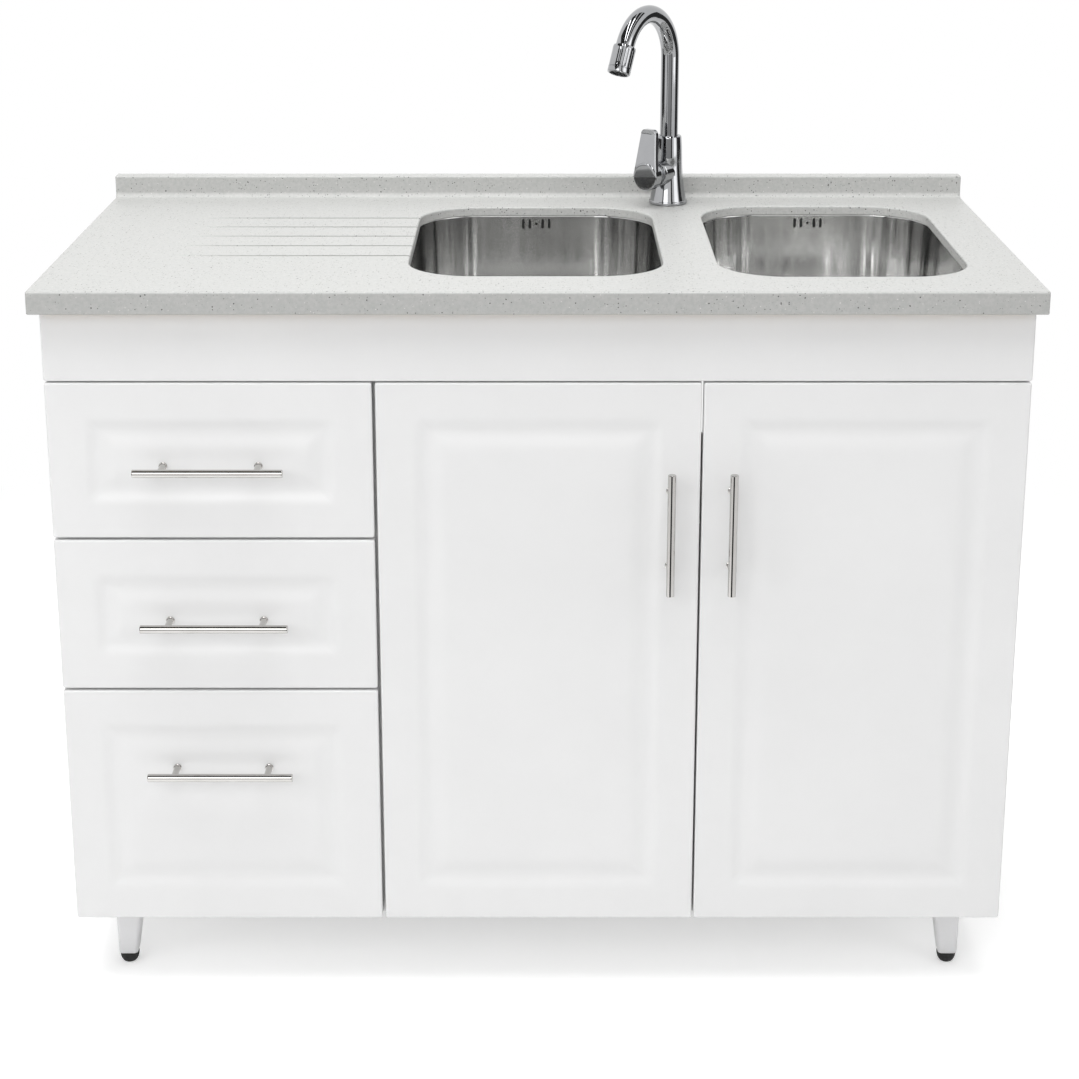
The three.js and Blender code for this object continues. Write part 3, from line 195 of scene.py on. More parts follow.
def finish(name, low, high, scale, rough, relief=None, metallic=0.0, stretch=(1, 1, 1), roughScale=None,
           brushed=0.0, wear=None, layers=()):
    # relief: scale, strength, distance; wear: amount, colour; layers: colour, cells per metre, share, size, edge
    made = bpy.data.materials.new(name)
    made.use_nodes = True
    tree = made.node_tree
    shader = tree.nodes["Principled BSDF"].inputs
    spot = add(tree, "ShaderNodeTexCoord").outputs["Object"]
    base = useGroup(tree, mottle, {"Vector": spot, "Scale": scale, "Low": paint(*low), "High": paint(*high)})[0]
    if wear:
        mask = useGroup(tree, edgeWear, {"Vector": spot, "Amount": wear[0]})["Mask"]
        base = mixed(tree, mask, base, paint(*wear[1]))
    for colour, cells, share, size, edge in layers:
        mask = useGroup(tree, specks, {"Vector": spot, "Scale": cells, "Share": share, "Size": size, "Edge": edge})
        base = mixed(tree, mask["Mask"], base, paint(*colour))
    tree.links.new(base, shader["Base Color"])
    streaks = useGroup(tree, grain, {"Vector": spot, "Stretch": stretch, "Scale": roughScale or scale * 3})
    tree.links.new(ranged(tree, streaks["Height"], 0.3, 0.7, *rough), shader["Roughness"])
    if relief:
        reliefScale, strength, distance = relief
        height = useGroup(tree, grain, {"Vector": spot, "Stretch": stretch, "Scale": reliefScale})["Height"]
        bump = add(tree, "ShaderNodeBump", {"Height": height, "Strength": strength, "Distance": distance * mm})
        tree.links.new(bump.outputs["Normal"], shader["Normal"])
    shader["Metallic"].default_value = metallic
    shader["Anisotropic"].default_value = brushed
    shader["Anisotropic Rotation"].default_value = 0.25
    return made


darkSpeck, greySpeck, paleSpeck = (46, 45, 42), (104, 103, 100), (212, 211, 208)
quartz = finish("quartz", (168, 169, 167), (180, 180, 178), 240.0, (0.34, 0.44), (700.0, 0.04, 0.15),
                roughScale=700.0, layers=[
                    (paleSpeck, 300.0, 0.26, 0.24, 0.12), (greySpeck, 340.0, 0.34, 0.34, 0.10),
                    (darkSpeck, 320.0, 0.16, 0.32, 0.07), (darkSpeck, 170.0, 0.09, 0.24, 0.05)])
satinFoil = finish("satinFoil", (227, 227, 227), (229, 229, 229), 9, (0.36, 0.4), (260, 0.06, 0.2))
melamine = finish("melamine", (228, 228, 227), (230, 230, 229), 14, (0.45, 0.55), (900, 0.15, 0.12))
hardboard = finish("hardboard", (217, 215, 210), (223, 221, 216), 45, (0.6, 0.75), (500, 0.3, 0.25))
chipboard = finish("chipboard", (172, 140, 96), (214, 186, 140), 240, (0.8, 0.95), (420, 0.7, 0.6))
bowlSteel = finish("bowlSteel", (212, 212, 211), (227, 227, 226), 7, (0.1, 0.16), (240, 0.05, 0.1), 1.0,
                   stretch=(1, 1, 0.03), roughScale=90, brushed=0.6)
chrome = finish("chrome", (164, 165, 167), (179, 180, 182), 12, (0.03, 0.07), None, 1.0)
handleSteel = finish("handleSteel", (188, 186, 183), (198, 196, 194), 20, (0.05, 0.09), None, 1.0)
plainSteel = finish("plainSteel", (186, 188, 191), (206, 208, 210), 60, (0.3, 0.42), (900, 0.12, 0.1), 1.0,
                    wear=(0.8, (222, 222, 222)))
brass = finish("brass", (170, 140, 74), (196, 164, 92), 50, (0.28, 0.4), (700, 0.15, 0.1), 1.0)
drawerPaint = finish("drawerPaint", (206, 207, 208), (216, 217, 218), 20, (0.42, 0.5), (1100, 0.25, 0.12))
whitePipe = finish("whitePipe", (222, 222, 216), (232, 232, 228), 16, (0.36, 0.46), (300, 0.08, 0.2))
legPlastic = finish("legPlastic", (226, 226, 227), (232, 232, 233), 18, (0.38, 0.46), (420, 0.12, 0.15))
rubber = finish("rubber", (10, 10, 10), (20, 20, 19), 90, (0.6, 0.8), (1200, 0.4, 0.15))
darkInsert = finish("darkInsert", (38, 39, 41), (52, 53, 55), 90, (0.4, 0.5), (900, 0.2, 0.1))
print("finishes made")


# Mesh helpers, in millimetres

def pick(values, *keys):
    return [values[key] for key in keys]


def corners(node):
    low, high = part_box(node)
    return low / mm, high / mm


def meshFrom(name, points, faces):
    mesh = bpy.data.meshes.new(name)
    mesh.from_pydata([(x * mm, y * mm, z * mm) for x, y, z in points], [], faces)
    mesh.update()
    return mesh


def newPiece(name, mesh, material=None):
    piece = bpy.data.objects.new(name, mesh)
    scene.collection.objects.link(piece)
    if material:
        mesh.materials.clear()
        mesh.materials.append(material)
    return piece


def opened(*meshes):
    work = bmesh.new()
    for mesh in meshes:
        work.from_mesh(mesh)
    return work


def closed(work, mesh):
    work.to_mesh(mesh)
    work.free()
    return mesh


def skin(name, rings, material, capped=True):
    # rings run anticlockwise as seen from the last one
    count = len(rings[0])
    points = [point for ring in rings for point in ring]
    faces = []
    for a in range(0, len(points) - count, count):
        for i in range(count):
            b = (i + 1) % count
            faces.append((a + i, a + b, a + b + count, a + i + count))
    if capped:
        faces += [tuple(reversed(range(count))), tuple(range(len(points) - count, len(points)))]
    return newPiece(name, meshFrom(name, points, faces), material)


def turned(name, profile, material, steps=64, matrix=None, flutes=None):
    # profile: (radius, height) pairs up the outside; flutes: (count, depth, from height, to height)
    rings = []
    for radius, height in profile:
        ring = []
        for step in range(steps):
            angle = 2 * pi * step / steps
            reach = radius
            if flutes and flutes[2] <= height <= flutes[3]:
                reach -= flutes[1] * max(0.0, cos(flutes[0] * angle)) ** 2
            ring.append((reach * cos(angle), reach * sin(angle), height))
        rings.append(ring)
    piece = skin(name, rings, material, False)
    work = opened(piece.data)
    bmesh.ops.remove_doubles(work, verts=work.verts, dist=1e-7)
    if matrix is not None:
        work.transform(matrix)
    closed(work, piece.data)
    return piece


def shift(x, y, z):
    return Matrix.Translation(Vector((x, y, z)) * mm)


towardsRoom = Matrix.Rotation(radians(90), 4, "X")  # turned parts then run to -Y
towardsWall = Matrix.Rotation(radians(-90), 4, "X")


def arc(centreX, centreY, radius, start, end, steps=6):
    angles = [radians(start + (end - start) * step / steps) for step in range(steps + 1)]
    return [(centreX + radius * cos(angle), centreY + radius * sin(angle)) for angle in angles]


def rod(radius, foot, head, bore=0):
    return [(bore, foot), (radius, foot), (radius, head), (bore, head)]


def inside(radius, height, *places):
    return [(radius - inset, height + up) for inset, up in places]


def quarter(radius, angles):
    # how far a rounded edge lies in from its side and down from its top
    return [(radius * (1 - cos(radians(angle))), radius * (1 - sin(radians(angle)))) for angle in angles]


def evaluated(piece):
    bpy.context.view_layer.update()
    graph = bpy.context.evaluated_depsgraph_get()
    mesh = bpy.data.meshes.new_from_object(
        piece.evaluated_get(graph), preserve_all_data_layers=True, depsgraph=graph)
    piece.modifiers.clear()
    return mesh


def applied(piece):
    piece.data = evaluated(piece)
    return piece


def boolean(piece, tools, operation="DIFFERENCE"):
    for tool in tools:
        change = piece.modifiers.new("change", "BOOLEAN")
        change.operation = operation
        change.solver = "EXACT"
        change.object = tool
    applied(piece)
    for tool in tools:
        bpy.data.objects.remove(tool)
    return piece


def tidied(piece):
    distance = 0.002 * mm
    work = opened(piece.data)
    bmesh.ops.remove_doubles(work, verts=work.verts, dist=distance)
    bmesh.ops.dissolve_degenerate(work, edges=work.edges, dist=distance)
    closed(work, piece.data)
    return piece


def together(name, pieces):
    mesh = closed(opened(*[piece.data for piece in pieces]), bpy.data.meshes.new(name))
    joined = newPiece(name, mesh, pieces[0].data.materials[0])
    for piece in pieces:
        bpy.data.objects.remove(piece)
    return joined


def rides(piece, angle, body, slotName, *nodes):
    # shades the piece, with sharp edges over the angle, puts it on its body and hides the given CAD parts
    if angle:
        piece.data.shade_smooth()
        piece.data.set_sharp_from_angle(angle=radians(angle))
        even = piece.modifiers.new("even", "WEIGHTED_NORMAL")
        even.keep_sharp = True
        even.weight = 60
        applied(piece)
    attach(piece, body)
    if nodes:
        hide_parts(*nodes)
    return piece


def softened(node, name, material, width, body, slotName, segments=2):
    # the CAD shape with rounded edges
    work = opened(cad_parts[node].data)
    bmesh.ops.remove_doubles(work, verts=work.verts, dist=0.005 * mm)
    bmesh.ops.dissolve_limit(work, angle_limit=radians(0.5), verts=work.verts, edges=work.edges)
    piece = newPiece(name, closed(work, bpy.data.meshes.new(name)), material)
    edges = piece.modifiers.new("edges", "BEVEL")
    edges.width = width * mm
    edges.segments = segments
    edges.limit_method = "ANGLE"
    edges.angle_limit = radians(35)
    edges.use_clamp_overlap = True
    return rides(applied(piece), 32, body, slotName, node)


def rectangleRing(x0, x1, y0, y1, radius, z, cornerSteps, sideSteps=1):
    # anticlockwise from above, from the front right corner
    points = []
    for x, y, start in [(x1 - radius, y0 + radius, -90), (x1 - radius, y1 - radius, 0),
                        (x0 + radius, y1 - radius, 90), (x0 + radius, y0 + radius, 180)]:
        points += arc(x, y, radius, start, start + 90, cornerSteps)
    full = []
    for i, (x, y) in enumerate(points):
        full.append((x, y, z))
        if (i + 1) % (cornerSteps + 1) == 0:
            nextX, nextY = points[(i + 1) % len(points)]
            for step in range(1, sideSteps):
                share = step / sideSteps
                full.append((x + (nextX - x) * share, y + (nextY - y) * share, z))
    return full


def wallRing(x0, x1, z0, z1, radius, y, cornerSteps, sideSteps=1):
    # the same, standing in a wall and anticlockwise from the room
    return [(x, y, z) for x, z, _ in rectangleRing(x0, x1, z0, z1, radius, 0, cornerSteps, sideSteps)]


def wallBlock(name, x, z, half, below, above, corner, edge, material):
    # edge: (y, inset) pairs from the room inwards
    rings = [wallRing(x - half + inset, x + half - inset, z - below + inset, z + above - inset, corner - inset, y,
                      6)[::-1] for y, inset in edge]
    return skin(name, rings, material)


def swept(name, path, radius, material, steps):
    # a round bar or pipe along points, with a frame carried along so that it doesn't twist
    rings = []
    across = None
    for i, point in enumerate(path):
        along = (Vector(path[min(i + 1, len(path) - 1)]) - Vector(path[max(i - 1, 0)])).normalized()
        if across is None:
            across = along.orthogonal().normalized()
        across = (across - along * across.dot(along)).normalized()
        up = along.cross(across)
        angles = [2 * pi * step / steps for step in range(steps)]
        rings.append([tuple(Vector(point) + (across * cos(a) + up * sin(a)) * radius) for a in angles])
    return skin(name, rings, material)


# Geometry Nodes

def nodeTree(name, inputs):
    return newTree(name, {"Geometry": "Geometry", **inputs}, {"Geometry": "Geometry"}, "Geometry")


def ended(tree, geometry, material, result):
    real = add(tree, "GeometryNodeRealizeInstances", {"Geometry": geometry})
    coloured = add(tree, "GeometryNodeSetMaterial", {"Geometry": real.outputs[0], "Material": material})
    tree.links.new(coloured.outputs[0], result["Geometry"])
    return tree


def instanced(tree, given, points, inputs):
    part = add(tree, "GeometryNodeObjectInfo", {"Object": given["Part"], "As Instance": True}).outputs["Geometry"]
    return add(tree, "GeometryNodeInstanceOnPoints", {"Points": points, "Instance": part, **inputs}).outputs[0]


def makeAtPoints():
    # the same small part at every vertex, facing the way of its aim
    tree, given, result = nodeTree("partsAtPoints", {"Part": "Object", "Size": "Float", "Material": "Material"})
    aim = add(tree, "GeometryNodeInputNamedAttribute", {"Name": "aim"}, data_type="FLOAT_VECTOR")
    turn = add(tree, "FunctionNodeAlignRotationToVector", {"Vector": aim.outputs[0]}, axis="Z")
    placed = instanced(tree, given, given["Geometry"], {"Rotation": turn.outputs[0], "Scale": given["Size"]})
    return ended(tree, placed, given["Material"], result)


def makeRoundAxis():
    # the same small part repeated round the Z axis
    tree, given, result = nodeTree("partsRoundAxis", {
        "Part": "Object", "Count": "Int", "Radius": "Float", "Height": "Float", "Material": "Material"})
    circle = add(tree, "GeometryNodeMeshCircle", {"Vertices": given["Count"], "Radius": given["Radius"]})
    level = add(tree, "ShaderNodeCombineXYZ", {"Z": given["Height"]})
    raised = add(tree, "GeometryNodeTransform", {
        "Geometry": circle.outputs[0], "Translation": level.outputs[0]})
    flat = vectors(tree, "MULTIPLY", add(tree, "GeometryNodeInputPosition").outputs[0], (1, 1, 0))
    turn = add(tree, "FunctionNodeAlignRotationToVector", {"Vector": flat}, axis="X", pivot_axis="Z")
    placed = instanced(tree, given, raised.outputs[0], {"Rotation": turn.outputs[0]})
    return ended(tree, placed, given["Material"], result)


strainerRings = [(6, 0.26), (12, 0.52), (18, 0.76)]  # holes, and their share of the plate's radius


def makeStrainer():
    # a plate with rings of round holes
    tree, given, result = nodeTree("perforatedPlate", {
        "Plate Radius": "Float", "Thickness": "Float", "Hole Radius": "Float", "Material": "Material"})
    plate = add(tree, "GeometryNodeMeshCylinder", {
        "Vertices": 64, "Radius": given["Plate Radius"], "Depth": given["Thickness"]})
    deep = maths(tree, "MULTIPLY", given["Thickness"], 3.0)
    hole = add(tree, "GeometryNodeMeshCylinder", {"Vertices": 16, "Radius": given["Hole Radius"], "Depth": deep})
    gather = tree.nodes.new("GeometryNodeJoinGeometry")
    for count, share in strainerRings:
        reach = maths(tree, "MULTIPLY", given["Plate Radius"], share)
        circle = add(tree, "GeometryNodeMeshCircle", {"Vertices": count, "Radius": reach})
        holes = add(tree, "GeometryNodeInstanceOnPoints", {
            "Points": circle.outputs[0], "Instance": hole.outputs[0]})
        tree.links.new(holes.outputs[0], gather.inputs[0])
    cutters = add(tree, "GeometryNodeRealizeInstances", {"Geometry": gather.outputs[0]})
    cut = add(tree, "GeometryNodeMeshBoolean", {"Mesh 1": plate.outputs["Mesh"], "Mesh 2": cutters.outputs[0]},
              operation="DIFFERENCE", solver="EXACT")
    return ended(tree, cut.outputs[0], given["Material"], result)


partsAtPoints, partsRoundAxis, perforatedPlate = makeAtPoints(), makeRoundAxis(), makeStrainer()


def grown(name, tree, values, points=(), aims=(), matrix=None):
    # runs a Geometry Nodes tree on a few points and keeps the plain mesh
    mesh = meshFrom(name + "Seed", list(points) or [(0, 0, 0)], [])
    if aims:
        attribute = mesh.attributes.new("aim", "FLOAT_VECTOR", "POINT")
        for i, aim in enumerate(aims):
            attribute.data[i].vector = aim
    holder = newPiece(name + "Seed", mesh)
    grow = holder.modifiers.new("grow", "NODES")
    grow.node_group = tree
    for item in tree.interface.items_tree:
        if item.in_out == "INPUT" and item.name in values:
            grow[item.identifier] = values[item.name]
    made = evaluated(holder)
    bpy.data.objects.remove(holder)
    if matrix is not None:
        made.transform(matrix)
    return newPiece(name, made)


def makeScrewHead():
    # a countersunk head with a cross in it, 8 mm across, its face at z 0
    profile = [(0, -2.2), (1.6, -2.2), (3.7, -0.2), (3.9, 0.1), (3.6, 0.45), (2.0, 0.75), (0, 0.8)]
    head = turned("screwHead", profile, plainSteel, 20)
    bars = []
    for long, short in [(2.2, 0.45), (0.45, 2.2)]:
        ring = rectangleRing(-long, long, -short, short, 0.2, 0, 1)
        rings = [[(x * s, y * s, z) for x, y, _ in ring] for s, z in [(0.35, -1.2), (1.0, 0.2), (1.0, 1.5)]]
        bars.append(skin("cross", rings, plainSteel))
    return boolean(head, bars)


screwHead = makeScrewHead()
screwSizes = {"waste": 1.25, "cup": 0.85, "body": 0.9}
print("tools ready")


def ribs(name, part, count, radius, height, material, matrix):
    return grown(name, partsRoundAxis, {
        "Part": part, "Count": count, "Radius": radius * mm, "Height": height * mm, "Material": material,
    }, matrix=matrix)


def screws(name, places, aims, size, material=plainSteel, part=screwHead):
    return grown(name, partsAtPoints, {"Part": part, "Size": size, "Material": material}, places, aims)


# Worktop

worktopValues = {
    "edge": 3.0,  # front edge and the upstand's top edge
    "lowEdge": 2.0,
    "end": 1.8,  # rounding of both ends
    "slab": 12.0,
    "edgeWall": 12.0,  # thickness of the built-up edge
    "upstand": 20.0,
    "cove": 7.0,
    "lip": 2.6,  # rounding round the bowls
    "tapHole": 17.5,
    "overrun": 10.0,  # by which the cutters pass the faces
    "grooves": 5, "groovePitch": 58.6, "grooveFromWall": 171.0, "grooveLength": 290.0, "grooveRadius": 2.5,
    "grooveDepths": [(0, 0.4), (12, 1.3), (40, 2.4), (100, 3.2), (200, 3.8), (320, 4.2)],  # along the groove
    "topLevel": 930.0,
}
bowlValues = {
    "flange": 13.0, "reveal": 1.0, "radius": 80.0, "draft": 4.0, "fillet": 30.0, "wall": 1.5, "rimEdge": 1.8,
    "floorFall": 1.2, "recess": 57.0, "recessDepth": 3.0, "hole": 44.5, "cornerSteps": 14, "sideSteps": 6,
    "recessEdge": [(3.2, 0.0), (2.4, 0.15), (1.4, 0.8), (0.8, 1.9), (0.0, 2.7), (-1.2, 3.0)],  # outward, down
    "slotPitch": 9.0, "slotSize": (3.4, 13.0), "slotDrop": 5.0,
    "slotEdge": [(-6, -0.7), (-1.2, -0.7), (-0.7, -0.3), (-0.2, 0.0), (8, 0.0)],  # behind the wall, inset
    "housingEdge": [(1.9, 0.0), (8.0, 0.0), (9.2, 0.5), (9.7, 1.6)],  # behind the wall, inset
    "housing": (27.0, 10.0, 9.0, 5.0),  # half width, below, above, corner
}


def bowlPlan(side):
    low, high = corners("bowl_" + side)
    reach = bowlValues["flange"] + bowlValues["reveal"]
    return {
        "x0": low.x + reach, "x1": high.x - reach, "y0": low.y + reach, "y1": high.y - reach,
        "x": (low.x + high.x) / 2, "y": (low.y + high.y) / 2,
        "rim": high.z, "floor": low.z + bowlValues["wall"] + bowlValues["recessDepth"],
    }


def bowlRing(plan, grow, z):
    return rectangleRing(plan["x0"] - grow, plan["x1"] + grow, plan["y0"] - grow, plan["y1"] + grow,
                         bowlValues["radius"] + grow, z, bowlValues["cornerSteps"], bowlValues["sideSteps"])


def insetOutline(outline, distance):
    moved = []
    for i, point in enumerate(outline):
        here = Vector(point)
        into = (here - Vector(outline[i - 1])).normalized()
        out = (Vector(outline[(i + 1) % len(outline)]) - here).normalized()
        after = Vector((-out.y, out.x))
        normal = (Vector((-into.y, into.x)) + after).normalized()
        moved.append(tuple(here + normal * distance / max(0.5, normal.dot(after))))
    return moved


def tapAxis():
    low, high = corners("tap_mounting_nut")
    return (low.x + high.x) / 2, (low.y + high.y) / 2


def makeWorktop():
    v = worktopValues
    top, edge, lowEdge, cove, lip, overrun = pick(v, "topLevel", "edge", "lowEdge", "cove", "lip", "overrun")
    low, high = corners("worktop")
    face, under = high.y - v["upstand"], top - v["slab"]
    outline = arc(high.y - lowEdge, low.z + lowEdge, lowEdge, -90, 0, 4)
    outline += arc(high.y - lowEdge, high.z - lowEdge, lowEdge, 0, 90, 4)
    outline += arc(face + edge, high.z - edge, edge, 90, 180, 8)
    outline += arc(face - cove, top + cove, cove, 0, -90, 10)
    outline += arc(low.y + edge, top - edge, edge, 90, 180, 8)
    outline += arc(low.y + lowEdge, low.z + lowEdge, lowEdge, 180, 270, 4)
    ends = quarter(v["end"], (90, 68, 45, 22, 0))
    rings = [[(low.x + along, y, z) for y, z in insetOutline(outline, inset)] for inset, along in ends]
    rings += [[(high.x - along, y, z) for y, z in insetOutline(outline, inset)] for inset, along in ends[::-1]]
    slab = skin("worktop_slab", rings, quartz)
    wall = v["edgeWall"]
    pocket = [rectangleRing(low.x + wall, high.x - wall, low.y + wall, high.y + 3 * overrun, 0.5, z, 2)
              for z in (low.z - 2 * overrun, under)]
    tools = [skin("pocket", pocket, quartz)]
    for side in sides:
        plan = bowlPlan(side)
        rings = [bowlRing(plan, 0.0, under - overrun)]
        rings += [bowlRing(plan, grow, top - drop) for grow, drop in quarter(lip, range(0, 91, 15))]
        rings.append(bowlRing(plan, lip, top + overrun))
        tools.append(skin("mouth", rings, quartz))
    profile = rod(v["tapHole"], under - overrun, top + overrun)
    tools.append(turned("tapHole", profile, quartz, 48, shift(*tapAxis(), 0)))
    start = bowlPlan("left")["x0"] - v["grooveLength"]
    radius = v["grooveRadius"]
    for groove in range(v["grooves"]):
        y = high.y - v["grooveFromWall"] - groove * v["groovePitch"]
        rings = []
        for along, depth in v["grooveDepths"]:
            half = arc(0, radius - depth, radius, -90, 0, 6) + [(radius, overrun)]
            whole = half + [(-out, up) for out, up in reversed(half[1:])]
            rings.append([(start + along, y + out, top + up) for out, up in whole])
        tools.append(skin("groove", rings, quartz))
    rides(tidied(boolean(slab, tools)), 38, "unit", "quartz", "worktop")


makeWorktop()
softened("worktop_underlay", "underlay_board", chipboard, 0.3, "unit", "underlay_board", 1)
print("worktop made")


# Bowls, wastes and the pipework under them

wasteValues = {
    "rim": 56.7, "mouth": 42.2, "cup": 40.2, "cupOuter": 44.2, "cupDepth": 52.0, "nut": 54.0, "nutHeight": 9.0,
    "tail": 20.0, "tailWall": 4.0, "gap": 0.3, "plateDrop": 14.0, "plate": 1.4, "holeRadius": 2.6,
}


def makeBowl(side):
    v = bowlValues
    plan = bowlPlan(side)
    rim, floor = plan["rim"], plan["floor"]
    reveal, draft, fillet, fall, depth = pick(v, "reveal", "draft", "fillet", "floorFall", "recessDepth")
    rings = [bowlRing(plan, reveal + v["flange"], rim)]
    rings += [bowlRing(plan, reveal + out, rim - drop) for drop, out in quarter(v["rimEdge"], range(0, 91, 15))]
    wallTop, wallFoot = rim - v["rimEdge"], floor + fillet
    for share in [step / 6 for step in range(1, 6)]:
        rings.append(bowlRing(plan, reveal - draft * share, wallTop + (wallFoot - wallTop) * share))
    inner = reveal - draft - fillet
    for angle in range(0, 91, 9):
        turn = radians(angle)
        rings.append(bowlRing(plan, inner + fillet * cos(turn), wallFoot - fillet * sin(turn) + fall * angle / 90))
    flat = bowlRing(plan, inner, floor)
    centre = Vector((plan["x"], plan["y"], 0))

    def circle(radius, z):
        outs = [(Vector((x, y, 0)) - centre).normalized() * radius for x, y, _ in flat]
        return [(centre.x + out.x, centre.y + out.y, z) for out in outs]

    outer = circle(v["recess"] + depth, floor)
    for share in (0.2, 0.4, 0.6, 0.8):
        height = floor + fall * (1 - share)
        rings.append([(a[0] + (b[0] - a[0]) * share, a[1] + (b[1] - a[1]) * share, height)
                      for a, b in zip(flat, outer)])
    rings += [circle(v["recess"] + out, floor - min(drop, depth)) for out, drop in v["recessEdge"]]
    rings.append(circle(v["hole"], floor - depth))
    bowl = skin("bowl_" + side + "_pressing", rings, bowlSteel, False)
    wall = bowl.modifiers.new("wall", "SOLIDIFY")
    wall.thickness = v["wall"] * mm
    wall.offset = -1
    wall.use_even_offset = True
    applied(bowl)
    wide, tall = v["slotSize"]
    middle = rim - v["slotDrop"] - tall / 2
    back = plan["y1"] + reveal
    slots = [(place * v["slotPitch"], tall / 2) for place in (-2, -1, 1, 2)] + [(0, wide / 2)]
    edge = [(back + y, inset) for y, inset in v["slotEdge"]]
    tools = [wallBlock("slot", plan["x"] + offset, middle, wide / 2, high, high, wide / 2 - 0.05, edge, bowlSteel)
             for offset, high in slots]
    rides(boolean(bowl, tools), 40, "unit", "bowl_steel", "bowl_" + side)
    edge = [(back + y, inset) for y, inset in v["housingEdge"]]
    housing = wallBlock("bowl_" + side + "_overflow", plan["x"], middle, *v["housing"], edge, rubber)
    rides(housing, 40, "unit", "bowl_steel")


def makeWaste(side):
    v = wasteValues
    plan = bowlPlan(side)
    rim, mouth, cup, outer, nut, tail, gap = pick(v, "rim", "mouth", "cup", "cupOuter", "nut", "tail", "gap")
    low, high = corners("waste_" + side)
    seat = plan["floor"] - bowlValues["recessDepth"]
    under = seat - bowlValues["wall"] - gap
    floor = seat - v["cupDepth"]
    bore, nutFoot = tail - v["tailWall"], under - v["nutHeight"]
    body = turned("waste_" + side + "_body", [
        *inside(tail, low.z, (v["tailWall"], 0), (0.6, 0), (0, 0.6)), (tail, floor - 4),
        *inside(outer, floor, (9, -4), (4, -2), (1, 2), (0, 6)), (outer, nutFoot), (nut - 1, nutFoot),
        (nut, nutFoot + 1), (nut, under - 0.5), (nut - 0.5, under), (outer, under), (outer, seat + gap),
        *inside(rim, seat, (0.3, gap), (0, 0.7), (0.4, 1.3)), *inside(rim, high.z, (1.4, -0.15), (3.0, 0)),
        (mouth + 5.5, high.z - 0.1), (mouth + 3.4, high.z - 0.7), (mouth + 1.4, seat - 0.2),
        (mouth - 0.4, seat - 1.6), (cup, seat - 3.5), *inside(cup, floor, (0, 8), (3, 3), (9, 0)),
        (bore, floor - 1), (bore, low.z),
    ], handleSteel, 96, shift(plan["x"], plan["y"], 0))
    rides(body, 42, "unit", "bowl_steel", "waste_" + side)
    plateHeight = seat - v["plateDrop"]
    plate = grown("waste_" + side + "_strainer", perforatedPlate, {
        "Plate Radius": (cup - 0.1) * mm, "Thickness": v["plate"] * mm, "Hole Radius": v["holeRadius"] * mm,
        "Material": handleSteel}, matrix=shift(plan["x"], plan["y"], plateHeight))
    rides(plate, 40, "unit", "bowl_steel")
    spot = (plan["x"], plan["y"], plateHeight + 1.0)
    screw = screws("waste_" + side + "_screw", [spot], [(0, 0, 1)], screwSizes["waste"], handleSteel)
    rides(screw, None, "unit", "bowl_steel")


for side in sides:
    makeBowl(side)
    makeWaste(side)
print("bowls and wastes made")


pipeValues = {
    "radius": 20.0, "bore": 17.0, "boreDepth": 150.0, "bend": 34.0, "level": 640.0, "outletDrop": 52.0,
    "nut": 27.0, "nutHeight": 20.0, "nutRibs": 12, "bottleTop": 670.0, "bottleHeight": 150.0, "bottle": 36.0,
    "cap": 41.0, "capHeight": 26.0, "capRibs": 22, "rib": (1.4, 1.6, 0.9), "outletNut": 53.0,
}


def bentPath(start, corner, end, radius):
    first, middle, last = Vector(start), Vector(corner), Vector(end)
    into = middle + (first - middle).normalized() * radius
    out = middle + (last - middle).normalized() * radius
    path = [first, into]
    for share in [step / 12 for step in range(1, 12)]:
        path.append(into.lerp(middle, share).lerp(middle.lerp(out, share), share))
    return [tuple(p) for p in path + [out, last]]


